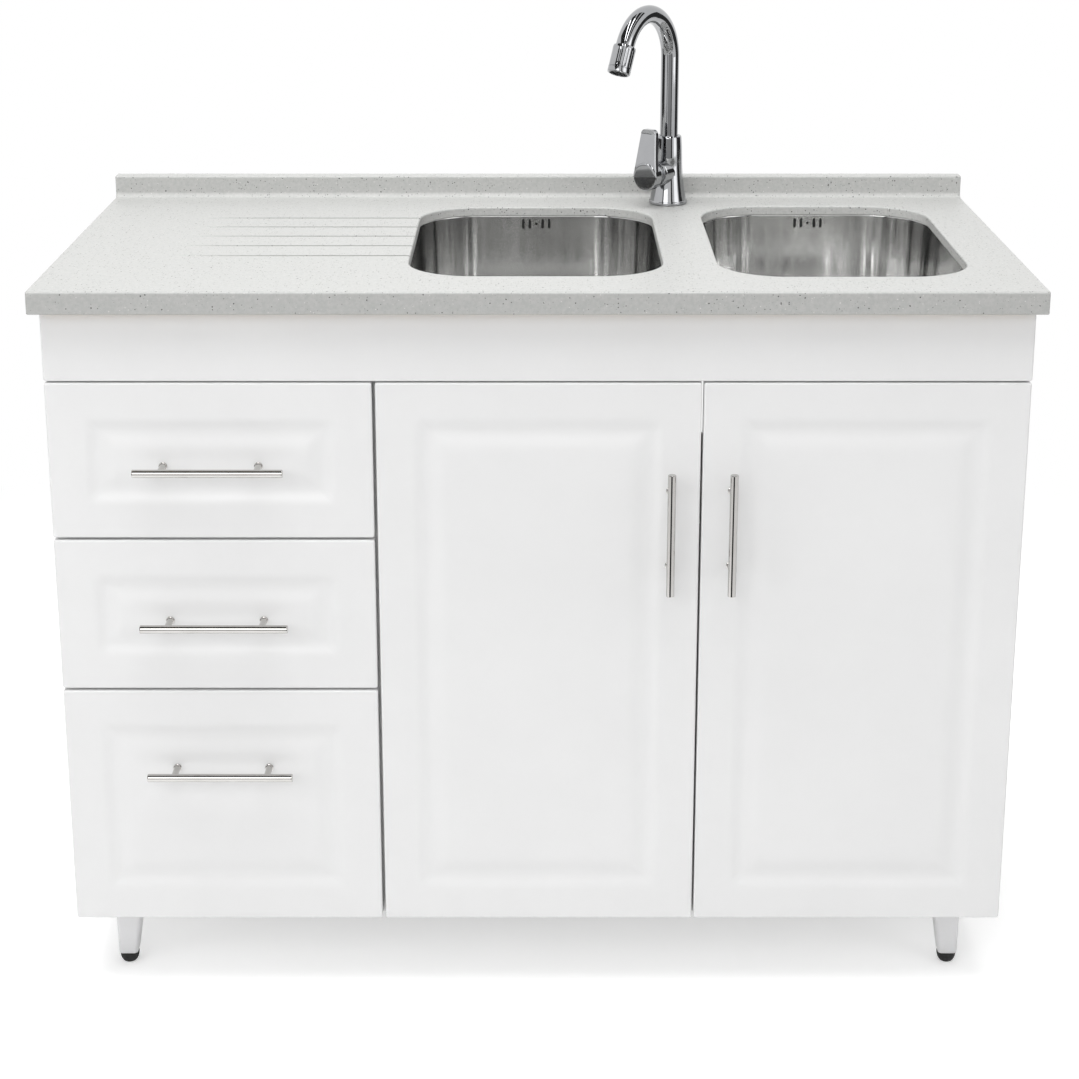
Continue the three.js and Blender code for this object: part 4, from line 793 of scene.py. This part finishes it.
def makeTrap():
    v = pipeValues
    radius, nut, nutHeight, cap, level = pick(v, "radius", "nut", "nutHeight", "cap", "level")
    bottle, head = pick(v, "bottle", "bottleTop")
    foot = head - v["bottleHeight"]
    capTop = foot + v["capHeight"]
    plans = [bowlPlan(side) for side in sides]
    x, y = (plans[0]["x"] + plans[1]["x"]) / 2, (plans[0]["y"] + plans[1]["y"]) / 2
    wall = corners("trap_pipework")[1].y
    pipes, nuts = [], []
    (thick, wide, corner), long = v["rib"], nutHeight / 2 - 1.5
    rib = skin("rib", [rectangleRing(-thick, thick, -wide, wide, corner, z, 3) for z in (-long, long)], whitePipe)
    for side, plan in zip(sides, plans):
        top = corners("waste_" + side)[0].z - wasteValues["gap"]
        path = bentPath((plan["x"], plan["y"], top), (plan["x"], plan["y"], level), (x, y, level), v["bend"])
        pipes.append(swept("pipe", path, radius, whitePipe, 40))
        nuts.append(shift(plan["x"], plan["y"], top - nutHeight))
    z = level - v["outletDrop"]
    outlet = [(x, y, z), (x, y + 60, z), (x, wall - 3, z), (x, wall, z)]
    pipes.append(swept("pipe", outlet, radius, whitePipe, 40))
    nuts.append(shift(x, y + v["outletNut"], z) @ towardsWall)
    bore = swept("bore", [(x, wall - v["boreDepth"], z), (x, wall + 5, z)], v["bore"], whitePipe, 40)
    trap = turned("trap_pipes", [
        (0, foot), *inside(cap, foot, (9, 0), (3, 1.5), (0, 5)), (cap, capTop - 2), (cap - 1.5, capTop),
        *inside(bottle, capTop, (1, 0.5), (0, 5)), *inside(bottle, head, (0, -12), (3, -5), (9, -1), (14, 0)),
        (0, head),
    ], whitePipe, 64, shift(x, y, 0))
    boolean(trap, pipes, "UNION")
    rides(boolean(trap, [bore]), 35, "unit", "white_pipe", "trap_pipework")
    hole = radius + 0.2
    profile = [(hole, 0), (nut - 3, 0), (nut - 1.6, 1.2), (nut - 1.6, nutHeight - 1.5), (nut - 3, nutHeight),
               (hole, nutHeight), (hole, 0)]
    rings = []
    for matrix in nuts:
        rings.append(turned("nut", profile, whitePipe, 48, matrix))
        rings.append(ribs("nutRibs", rib, v["nutRibs"], nut - 1.2, nutHeight / 2, whitePipe, matrix))
    rings.append(ribs("capRibs", rib, v["capRibs"], cap - 0.8, foot + v["capHeight"] / 2, whitePipe, shift(x, y, 0)))
    rides(together("trap_union_nuts", rings), 35, "unit", "white_pipe")
    bpy.data.objects.remove(rib)


makeTrap()
print("pipework made")


# Tap

tapValues = {
    "top": 930.0, "base": 26.8, "waist": 19.0, "neck": 17.6,
    "spout": 12.5, "riser": 204.0, "bend": 64.0, "turn": 155.0, "bendSteps": 44, "spoutHeading": 33.0,
    "nozzle": 15.5, "nozzleLength": 38.0, "flutes": (10, 0.75, -27.5, -5.5),
    "aerator": 12.2, "bars": 20, "barRadius": 7.4,
    "valveHeight": 45.0, "valveHeading": 38.0, "barrel": 17.5, "barrelReach": 33.0,
    "dome": 15.0, "domeCentre": 37.0, "domeGap": 0.3, "hollowGap": 0.5, "cap": 19.4, "capRear": 43.0,
    "capFront": 58.0,
    "leverHeight": 64.6, "leverFoot": 8.0, "leverTop": 12.6, "leverCorner": 6.5,
    "leverThickness": 8.0, "leverLean": 7.0, "leverEdge": 1.5, "leverCrown": 0.7,
}


def heading(angle):
    turn = radians(angle)
    return Vector((-sin(turn), -cos(turn), 0))


tapPlace = shift(*tapAxis(), tapValues["top"])
barrelAlong = heading(tapValues["valveHeading"])
upwards = Vector((0, 0, 1))
valvePlace = (tapPlace @ shift(0, 0, tapValues["valveHeight"])
              @ Matrix((upwards.cross(barrelAlong), upwards, barrelAlong)).transposed().to_4x4())


def makeTapBody():
    v = tapValues
    base, waist, neck, barrel, reach = pick(v, "base", "waist", "neck", "barrel", "barrelReach")
    profile = [(0, -52), (14.5, -52), (16, -50.5), (16, 0.3), (base - 0.6, 0.3), (base, 0.9), (base, 3.6),
               (base - 0.4, 4.6), (base - 1.2, 5.2)]
    for share in [step / 12 for step in range(1, 13)]:  # the body draws in from its foot to its collar
        profile.append((base - 1.4 - (base - 1.4 - waist) * sin(share * pi / 2) ** 0.9, 5.6 + 60.4 * share))
    profile += [(waist - 0.1, 67), (neck + 0.9, 80), (neck + 0.1, 92.5), (neck - 0.3, 94.6), (neck - 1.4, 95.8),
                (neck - 2.2, 96), (13.0, 96), (12.8, 95.6), (12.8, 73.7), (0, 73.7)]
    body = turned("tap_body_turned", profile, chrome, 96, tapPlace)
    profile = [(0, 0), (barrel, 0)]
    profile += inside(barrel, reach, (0, -6.4), (0.6, -6.0), (0.6, -5.5), (0, -5.1), (0, -1.4), (0.4, -0.5), (1.4, 0))
    branch = turned("barrel", profile + [(0, reach)], chrome, 96, valvePlace)
    rides(tidied(boolean(body, [branch], "UNION")), 30, "unit", "tap_chrome", "tap_body")


def makeSpout():
    v = tapValues
    riser, bend, length, outer = pick(v, "riser", "bend", "nozzleLength", "nozzle")
    ahead = heading(v["spoutHeading"])
    whole = radians(v["turn"])
    points = [Vector((0, 0, z)) for z in (74, 96, 130, 165, riser)]
    for step in range(1, v["bendSteps"] + 1):
        angle = whole * step / v["bendSteps"]
        points.append(Vector((0, 0, riser + bend * sin(angle))) + ahead * bend * (1 - cos(angle)))
    along = ahead * sin(whole) + Vector((0, 0, cos(whole)))
    end = points[-1].copy()
    points += [end + along * 8, end + along * 15.5]
    tube = swept("tap_spout_tube", [tuple(point) for point in points], v["spout"], chrome, 64)
    tube.data.transform(tapPlace)
    rides(tube, 40, "spout", "tap_chrome", "tap_spout")
    tilt = Vector((0, 0, -1)).rotation_difference(along).to_matrix().to_4x4()
    nozzlePlace = tapPlace @ Matrix.Translation(end * mm) @ tilt
    profile = [(0, -16), (13.0, -16), (13.0, -0.4), (13.4, 0)]
    profile += inside(outer, 0, (1.4, 0), (0.6, -0.5), (0.3, -1.6), (0, -3.5), (0, -4.5))
    profile += [(outer - 0.05, -z) for z in (6, 9, 12, 16, 20, 24, 27)]
    profile += inside(outer, 0, (0, -29), (0, -30.2), (0.7, -30.6), (0.7, -31.2), (0, -31.6))
    profile += inside(outer, -length, (0, 1.6), (0.5, 0.5), (1.5, 0), (2.9, 0), (3.1, 0.4), (3.1, 5), (outer, 5))
    shell = turned("tap_nozzle_shell", profile[::-1], chrome, 120, nozzlePlace, v["flutes"])
    rides(shell, 34, "spout", "tap_chrome", "tap_nozzle")
    bar = skin("bar", [rectangleRing(-3.9, 3.9, -0.35, 0.35, 0.2, z, 1) for z in (-0.8, 0.8)], darkInsert)
    wide = v["aerator"]
    profile = inside(wide, -length, (wide, 3.0), (0.3, 3.0), (0, 3.4), (0, 4.9), (wide, 4.9))
    insert = turned("insert", profile, darkInsert, 48, nozzlePlace)
    bars = ribs("bars", bar, v["bars"], v["barRadius"], -length + 2.6, darkInsert, nozzlePlace)
    profile = rod(wide, 1.2 - length, 3.2 - length, 10.6)
    ring = turned("ring", profile + profile[:1], darkInsert, 48, nozzlePlace)
    rides(together("tap_aerator", [insert, bars, ring]), 35, "spout", "tap_chrome")
    bpy.data.objects.remove(bar)


def makeValve():
    v = tapValues
    dome, centre, cap, front = pick(v, "dome", "domeCentre", "cap", "capFront")
    base = v["barrelReach"] + v["domeGap"]
    start = degrees(asin((base - centre) / dome))
    profile = [(0, base)] + arc(0, centre, dome, start, 89.9, 14) + [(0, centre + dome)]
    rides(turned("tap_cartridge_dome", profile, plainSteel, 64, valvePlace), 40, "cartridge", "cartridge_steel",
          "tap_cartridge")
    profile = inside(cap, v["capRear"], (cap, 0), (1, 0), (0, 1))
    profile += inside(cap, front, (0, -2.2), (0.3, -1.2), (1.0, -0.4), (2.2, -0.05), (4, 0), (cap, 0))
    lever = turned("tap_lever_cast", profile, chrome, 96, valvePlace)
    low, top, corner, height = pick(v, "leverFoot", "leverTop", "leverCorner", "leverHeight")
    foot = cap - 0.9
    shoulder = height - corner
    heights = [low + (shoulder - low) * step / 16 for step in range(17)]
    heights += [shoulder + corner * sin(radians(a)) for a in (12, 24, 36, 48, 60, 70, 79, 86)]
    rings = []
    for y in heights:
        share = min(1.0, (y - low) / (shoulder - low))
        over = max(0.0, (y - shoulder) / corner)
        half = foot + (top - foot) * share ** 0.85 - corner * (1 - sqrt(max(0.0, 1 - over * over)))
        lean = v["leverLean"] * share ** 1.2
        ring = rectangleRing(-half, half, -v["leverThickness"], -0.6, v["leverEdge"], 0, 6, 12)
        rings.append([(x, y, front + z - lean - v["leverCrown"] * (x / foot) ** 2) for x, z, _ in reversed(ring)])
    paddle = skin("paddle", rings, chrome)
    paddle.data.transform(valvePlace)
    boolean(lever, [paddle], "UNION")
    hollow = turned("hollow", arc(0, centre, dome + v["hollowGap"], -90, 90, 24), chrome, 64, valvePlace)
    rides(tidied(boolean(lever, [hollow])), 30, "lever", "tap_chrome", "tap_lever")


makeTapBody()
makeSpout()
makeValve()
softened("tap_mounting_nut", "tap_backnut", brass, 0.5, "unit", "nut_brass")
print("tap made")


# Fronts, with their handles and hinge cups

frontValues = {
    "edge": 2.5, "backEdge": 0.8, "corner": 3.0,
    "relief": [  # distance from the edge and depth, across the routed frame
        (41.0, 0.0), (43.5, 0.07), (46.0, 0.3), (48.5, 0.72), (51.0, 1.33), (53.5, 2.02),
        (56.0, 2.59), (58.5, 2.95), (61.0, 3.06), (64.0, 2.95), (67.0, 2.63), (70.0, 2.16),
        (73.0, 1.62), (76.0, 1.12), (79.0, 0.72), (82.0, 0.47), (85.0, 0.34), (88.0, 0.3),
    ],
    "reliefCorners": (9.0, 3.5),  # outermost and innermost
    "fasciaDrop": 1.2,  # narrows the gap under the fascia, which is pale in the photo
}
handleValues = {
    "bar": 5.0, "post": 4.0, "collar": 5.2, "proud": 0.4,  # proud: how far the screws' heads stand out
    "spacing": (115.0, 96.0),  # drawers, doors
}
hingeValues = {
    "well": 14.5, "cup": 14.3, "cupWall": 0.8, "cupDepth": 10.2, "fromEdge": 22.0, "heights": (197.0, 717.0),
    "flange": (11.0, 31.0, 0.9),  # half width, half height, thickness
    "plateGap": 0.02, "wellGap": 0.3, "screwOffset": 24.0, "screwProud": 0.1,
}
frontBack = corners("drawer_upper_front")[1].y  # the plane behind all fronts
handleScrews = {}  # places, by the body that they ride on


def frontBoard(name, box, raised=True):
    v = frontValues
    (x0, y0, z0), (x1, y1, z1) = box

    def ring(inset, y, corner):
        return wallRing(x0 + inset, x1 - inset, z0 + inset, z1 - inset, max(corner, 0.4), y, 6, 2)

    rings = [ring(inset, y1 - back, v["corner"]) for inset, back in quarter(v["backEdge"], (90, 60, 30, 0))]
    rings += [ring(inset, y0 + back, v["corner"] - inset * 0.5)
              for inset, back in quarter(v["edge"], range(0, 91, 10))]
    if raised:
        wide, tight = v["reliefCorners"]
        first, last = v["relief"][0][0], v["relief"][-1][0]
        rings += [ring(inset, y0 + depth, wide + (tight - wide) * (inset - first) / (last - first))
                  for inset, depth in v["relief"]]
    return skin(name, rings, satinFoil)


def makeHandle(start, body, upright):
    v = handleValues
    r, post, collar = pick(v, "bar", "post", "collar")
    low, high = corners(start + "_handle")
    middle = (low + high) / 2
    long = (high.z - low.z if upright else high.x - low.x) / 2
    axisY = low.y + r
    reach = high.y - axisY
    end = inside(r, long, (1.0, 0), (0.5, -0.15), (0.1, -0.6), (0, -1.2), (0, -8))
    profile = [(0, -long)] + [(radius, -z) for radius, z in end] + end[::-1] + [(0, long)]
    turn = Matrix.Identity(4) if upright else Matrix.Rotation(radians(90), 4, "Y")
    bar = turned(start + "_bar", profile, handleSteel, 48, shift(middle.x, axisY, middle.z) @ turn)
    profile = [(0, 0), (post, 0), (post, reach - 3.4), (post + 0.4, reach - 2.6), (collar, reach - 2.2),
               (collar, reach - 0.4), (collar - 0.4, reach), (0, reach)]
    half = v["spacing"][upright] / 2
    spots = [middle + (Vector((0, 0, away)) if upright else Vector((away, 0, 0))) for away in (-half, half)]
    posts = [turned("post", profile, handleSteel, 40, shift(at.x, axisY, at.z) @ towardsWall) for at in spots]
    rides(tidied(boolean(bar, posts, "UNION")), 30, body, "handle_steel", start + "_handle")
    handleScrews[body] = [(at.x, frontBack + v["proud"], at.z) for at in spots]


def makeDrawerFront(level):
    start, body = "drawer_" + level, level + "_drawer"
    rides(frontBoard(start + "_panel", corners(start + "_front")), 60, body, "front_foil", start + "_front")
    makeHandle(start, body, False)


def makeDoor(side):
    v = hingeValues
    body, back = side + "_door", frontBack
    well, outer, cupWall, deep, offset = pick(v, "well", "cup", "cupWall", "cupDepth", "screwOffset")
    inner = outer - cupWall
    halfWide, halfTall, thick = v["flange"]
    low, high = corners("door_" + side)
    cupX = low.x + v["fromEdge"] if side == "left" else high.x - v["fromEdge"]
    front = frontBoard("door_" + side + "_panel", (tuple(low), (high.x, back, high.z)))
    places = [shift(cupX, back, z) @ towardsRoom for z in v["heights"]]
    profile = rod(well, -2, deep + v["wellGap"])
    boolean(front, [turned("well", profile, satinFoil, 48, place) for place in places])
    rides(front, 60, body, "front_foil", "door_" + side)
    for level, z, place in zip(hingeLevels, v["heights"], places):
        cup = turned("cup", [
            (0, deep - cupWall), (inner - 2, deep - cupWall), (inner, deep - 2.6), (inner, -thick), (outer, -thick),
            (outer, deep - 2), (outer - 2, deep), (0, deep),
        ], plainSteel, 56, place)
        rings = [wallRing(cupX - halfWide + inset, cupX + halfWide - inset, z - halfTall + inset,
                          z + halfTall - inset, 6.0, back + y, 6)[::-1]
                 for y, inset in [(v["plateGap"], 0.0), (thick - 0.3, 0.0), (thick, 0.3)]]
        plate = skin("plate", rings, plainSteel)
        boolean(plate, [turned("opening", rod(inner + 0.1, -8, 4), plainSteel, 56, place)])
        spots = [(cupX, back + thick + v["screwProud"], z + away) for away in (-offset, offset)]
        heads = screws("screws", spots, [(0, 1, 0)] * 2, screwSizes["cup"])
        rides(together("hinge_cup_" + side + "_" + level, [cup, plate, heads]), 35, body, "plated_steel")
    makeHandle("door_" + side, body, True)


fasciaLow, fasciaHigh = corners("fascia_board")
fasciaLow.z -= frontValues["fasciaDrop"]
rides(frontBoard("fascia_panel", (fasciaLow, fasciaHigh), False), 60, "unit", "front_foil", "fascia_board")
for level in drawerLevels[::-1]:
    makeDrawerFront(level)
for side in sides:
    makeDoor(side)
print("fronts made")


# Cabinet, drawer boxes, runners and hinge arms: the CAD shapes with softened edges

for node, name in [("side_panel_left", "side_board_left"), ("side_panel_right", "side_board_right"),
                   ("partition_panel", "partition_board"), ("bottom_panel", "bottom_board"),
                   ("rear_rail", "rail_board")]:
    softened(node, name, melamine, 0.7, "unit", "melamine_board", 3)
softened("back_panel", "back_board", hardboard, 0.3, "unit", "back_hardboard")
for level in drawerLevels:
    start, body = "drawer_" + level, level + "_drawer"
    softened(start + "_bottom", start + "_base_board", melamine, 0.5, body, "melamine_board")
    softened(start + "_back", start + "_rear_board", melamine, 0.5, body, "melamine_board")
    for side in sides:
        softened(start + "_side_" + side, start + "_metal_side_" + side, drawerPaint, 0.4, body, "drawer_steel")
        end = "_" + level + "_" + side
        softened("runner" + end, "rail" + end, plainSteel, 0.35, "unit", "plated_steel")
for side in sides:
    for level in hingeLevels:
        end = "_" + side + "_" + level
        softened("hinge" + end, "hinge_arm" + end, plainSteel, 0.5, "unit", "plated_steel")

armScrews = [(3.1, 18, -16), (3.1, 18, 16), (11.1, 10, 0), (11.1, 26, 0)]  # from the wall, from the back, up
pinValues = {"across": 12, "rows": 8, "end": 12.0, "side": 8.0, "foot": 10.0, "head": 100.0, "proud": 0.3}


def makeScrews():
    places, aims = [], []
    for side, out in zip(sides, (1, -1)):
        for level in hingeLevels:
            low, high = corners("hinge_" + side + "_" + level)
            wall = low.x if out > 0 else high.x
            for away, near, up in armScrews:
                places.append((wall + out * away, high.y - near, (low.z + high.z) / 2 + up))
                aims.append((out, 0, 0))
    rides(screws("unit_screws", places, aims, screwSizes["body"]), 35, "unit", "plated_steel")
    for body in [level + "_drawer" for level in drawerLevels] + [side + "_door" for side in sides]:
        heads = screws(body + "_screws", handleScrews[body], [(0, 1, 0)] * 2, screwSizes["body"])
        rides(heads, 35, body, "plated_steel")


def makePins():
    # nails that hold the back board, round its edge
    v = pinValues
    across, rows, end, side, foot, head = pick(v, "across", "rows", "end", "side", "foot", "head")
    low, high = corners("back_panel")
    wide, tall, y = high.x - low.x - 2 * end, high.z - foot - head - low.z, high.y + v["proud"]
    points = [(low.x + end + wide * step / (across - 1), y, low.z + foot) for step in range(across)]
    for step in range(1, rows + 1):
        z = low.z + foot + tall * step / (rows + 1)
        points += [(low.x + side, y, z), (high.x - side, y, z)]
    pin = turned("pin", [(0, -1.5), (1.0, -1.5), (1.2, -0.4), (2.0, 0.0), (1.8, 0.4), (0, 0.6)], plainSteel, 12)
    pins = screws("back_board_pins", points, [(0, 1, 0)] * len(points), 1.0, part=pin)
    rides(pins, 40, "unit", "plated_steel")
    bpy.data.objects.remove(pin)


makeScrews()
makePins()
bpy.data.objects.remove(screwHead)
print("cabinet and drawers made")


# Legs and feet

legValues = {"corner": 5.0, "topRim": 2.2, "ring": 2.1}
footProfile = [(0, 0), (6.5, 0), (7.6, 0.3), (8.6, 1.0), (10.0, 2.8), (11.2, 5.2), (11.9, 7.6), (12.3, 9.8),
               (12.5, 11.6), (12.5, 13.6), (12.2, 14.6), (11.4, 15), (0, 15)]


def makeLeg(place):
    v = legValues
    low, high = corners("leg_" + place)
    footLow, footHigh = corners("foot_" + place)
    out = -1 if "left" in place else 1
    outer = low.x if out < 0 else high.x
    y = (low.y + high.y) / 2
    wide, narrow = high.x - low.x, footHigh.x - footLow.x

    def loft(name, levels, material):
        # the leg tapers on its inner side only
        rings = []
        for z, inset in levels:
            width = narrow + (wide - narrow) * (z - low.z) / (high.z - low.z)
            centre, half = outer - out * width / 2, width / 2 - inset
            rings.append(rectangleRing(centre - half, centre + half, y - half, y + half, v["corner"] - inset, z, 8))
        return skin(name, rings, material)

    foot, rim = low.z + v["ring"], high.z - v["topRim"]
    leg = loft("leg_" + place + "_moulding", [
        (foot + 0.1, 0.9), (foot + 0.3, 0.3), (foot + 0.9, 0.0), (foot + 20, 0.0), (foot + 45, 0.0),
        (high.z - 20, 0.0), (rim - 1.2, 0.0), (rim - 0.6, 0.5), (rim, 0.5), (rim + 0.5, 0.0),
        (high.z - 0.4, 0.0), (high.z, 0.4),
    ], legPlastic)
    rides(leg, 30, "unit", "leg_plastic", "leg_" + place)
    ring = loft("leg_" + place + "_ring", [(low.z, 0.6), (low.z + 0.3, 0.2), (foot - 0.3, 0.2), (foot, 0.5)],
                satinFoil)
    rides(ring, 30, "unit", "leg_plastic")
    cup = turned("foot_" + place + "_cup", footProfile, rubber, 56, shift((footLow.x + footHigh.x) / 2, y, 0))
    rides(cup, 35, "unit", "foot_rubber", "foot_" + place)


for place in ("front_left", "front_right", "back_left", "back_right"):
    makeLeg(place)
print("legs made")


# Floor, and the dark cards that the chrome reflects

def stageMaterial(name):
    made = bpy.data.materials.new(name)
    made.use_nodes = True
    tree = made.node_tree
    tree.nodes.remove(tree.nodes["Principled BSDF"])
    return made, tree, tree.nodes["Material Output"].inputs["Surface"]


def seenRays(tree):
    light = add(tree, "ShaderNodeLightPath").outputs
    seen = maths(tree, "MAXIMUM", light["Is Camera Ray"], light["Is Glossy Ray"])
    return maths(tree, "MAXIMUM", seen, light["Is Transmission Ray"])


def glowing(tree, kind, level, strength=1.0):
    return add(tree, kind, {"Color": (level, level, level, 1), "Strength": strength}).outputs[0]


floorValues = {"size": 14000.0, "albedo": 0.8, "near": 0.9, "far": 2.1, "sink": 0.5}
ambientLight = 0.42  # of the world, and what the floor adds to its own light


def makeFloor():
    v = floorValues
    half, albedo = v["size"] / 2, v["albedo"]
    mesh = meshFrom("floor", [(-half, -half, 0), (half, -half, 0), (half, half, 0), (-half, half, 0)], [(0, 1, 2, 3)])
    made, tree, surface = stageMaterial("paleFloor")
    spot = add(tree, "ShaderNodeTexCoord").outputs["Object"]
    reach = add(tree, "ShaderNodeVectorMath", {0: spot}, operation="LENGTH").outputs["Value"]
    away = ranged(tree, reach, v["near"], v["far"], interpolation_type="SMOOTHSTEP")
    lit = add(tree, "ShaderNodeBsdfDiffuse", {"Color": (albedo, albedo, albedo, 1)}).outputs[0]
    near = add(tree, "ShaderNodeAddShader", {0: lit, 1: glowing(tree, "ShaderNodeEmission", 1, ambientLight)})
    shown = add(tree, "ShaderNodeMixShader", {
        0: away, 1: near.outputs[0], 2: glowing(tree, "ShaderNodeEmission", 1)})
    final = add(tree, "ShaderNodeMixShader", {0: seenRays(tree), 1: lit, 2: shown.outputs[0]})
    tree.links.new(final.outputs[0], surface)
    floor = newPiece("floor", mesh, made)
    floor.location.z = -v["sink"] * mm


cardValues = [  # name, centre, size, turn in degrees, grey
    ("cardFrontLeft", (-1.2, -1.7, 1.5), (0.75, 2.2), (0, 0, 30), 0.03),
    ("cardFrontRight", (1.05, -1.9, 1.5), (0.6, 2.2), (0, 0, -25), 0.04),
    ("cardLeft", (-2.1, 0.3, 0.52), (1.9, 0.86), (0, 0, 88), 0.05),
    ("cardRight", (2.1, 0.5, 0.9), (1.7, 1.5), (0, 0, -88), 0.05),
    ("cardFrontLow", (0.0, -3.4, 0.56), (2.8, 1.1), (0, 0, 0), 0.42),
    ("cardFrontDark", (0.0, -1.35, 0.3), (0.8, 0.58), (0, 0, 0), 0.03),
    ("cardAboveA", (-1.1, -0.7, 2.7), (1.5, 2.6), (90, 0, 0), 0.03),
    ("cardAboveB", (0.05, -0.6, 2.7), (0.5, 2.7), (90, 0, 0), 0.03),
    ("cardAboveC", (0.72, -0.6, 2.7), (0.5, 2.7), (90, 0, 0), 0.03),
    ("cardAboveD", (1.45, -0.6, 2.7), (0.6, 2.7), (90, 0, 0), 0.03),
]


def makeCards():
    for name, centre, (wide, tall), turn, grey in cardValues:
        x, z = wide / 2 / mm, tall / 2 / mm
        mesh = meshFrom(name, [(-x, 0, -z), (x, 0, -z), (x, 0, z), (-x, 0, z)], [(0, 1, 2, 3)])
        made, tree, surface = stageMaterial(name)
        tree.links.new(glowing(tree, "ShaderNodeEmission", grey), surface)
        card = newPiece(name, mesh, made)
        card.location = centre
        card.rotation_euler = [radians(angle) for angle in turn]
        card.visible_camera = card.visible_diffuse = card.visible_shadow = card.visible_transmission = False


makeFloor()
makeCards()
world = bpy.data.worlds.new("studio")
scene.world = world
world.use_nodes = True
worldTree = world.node_tree
worldTree.nodes.clear()
room = add(worldTree, "ShaderNodeMixShader", {
    0: seenRays(worldTree), 1: glowing(worldTree, "ShaderNodeBackground", 1, ambientLight),
    2: glowing(worldTree, "ShaderNodeBackground", 1)})
add(worldTree, "ShaderNodeOutputWorld", {"Surface": room.outputs[0]})
print("stage made")

bpy.context.view_layer.update()
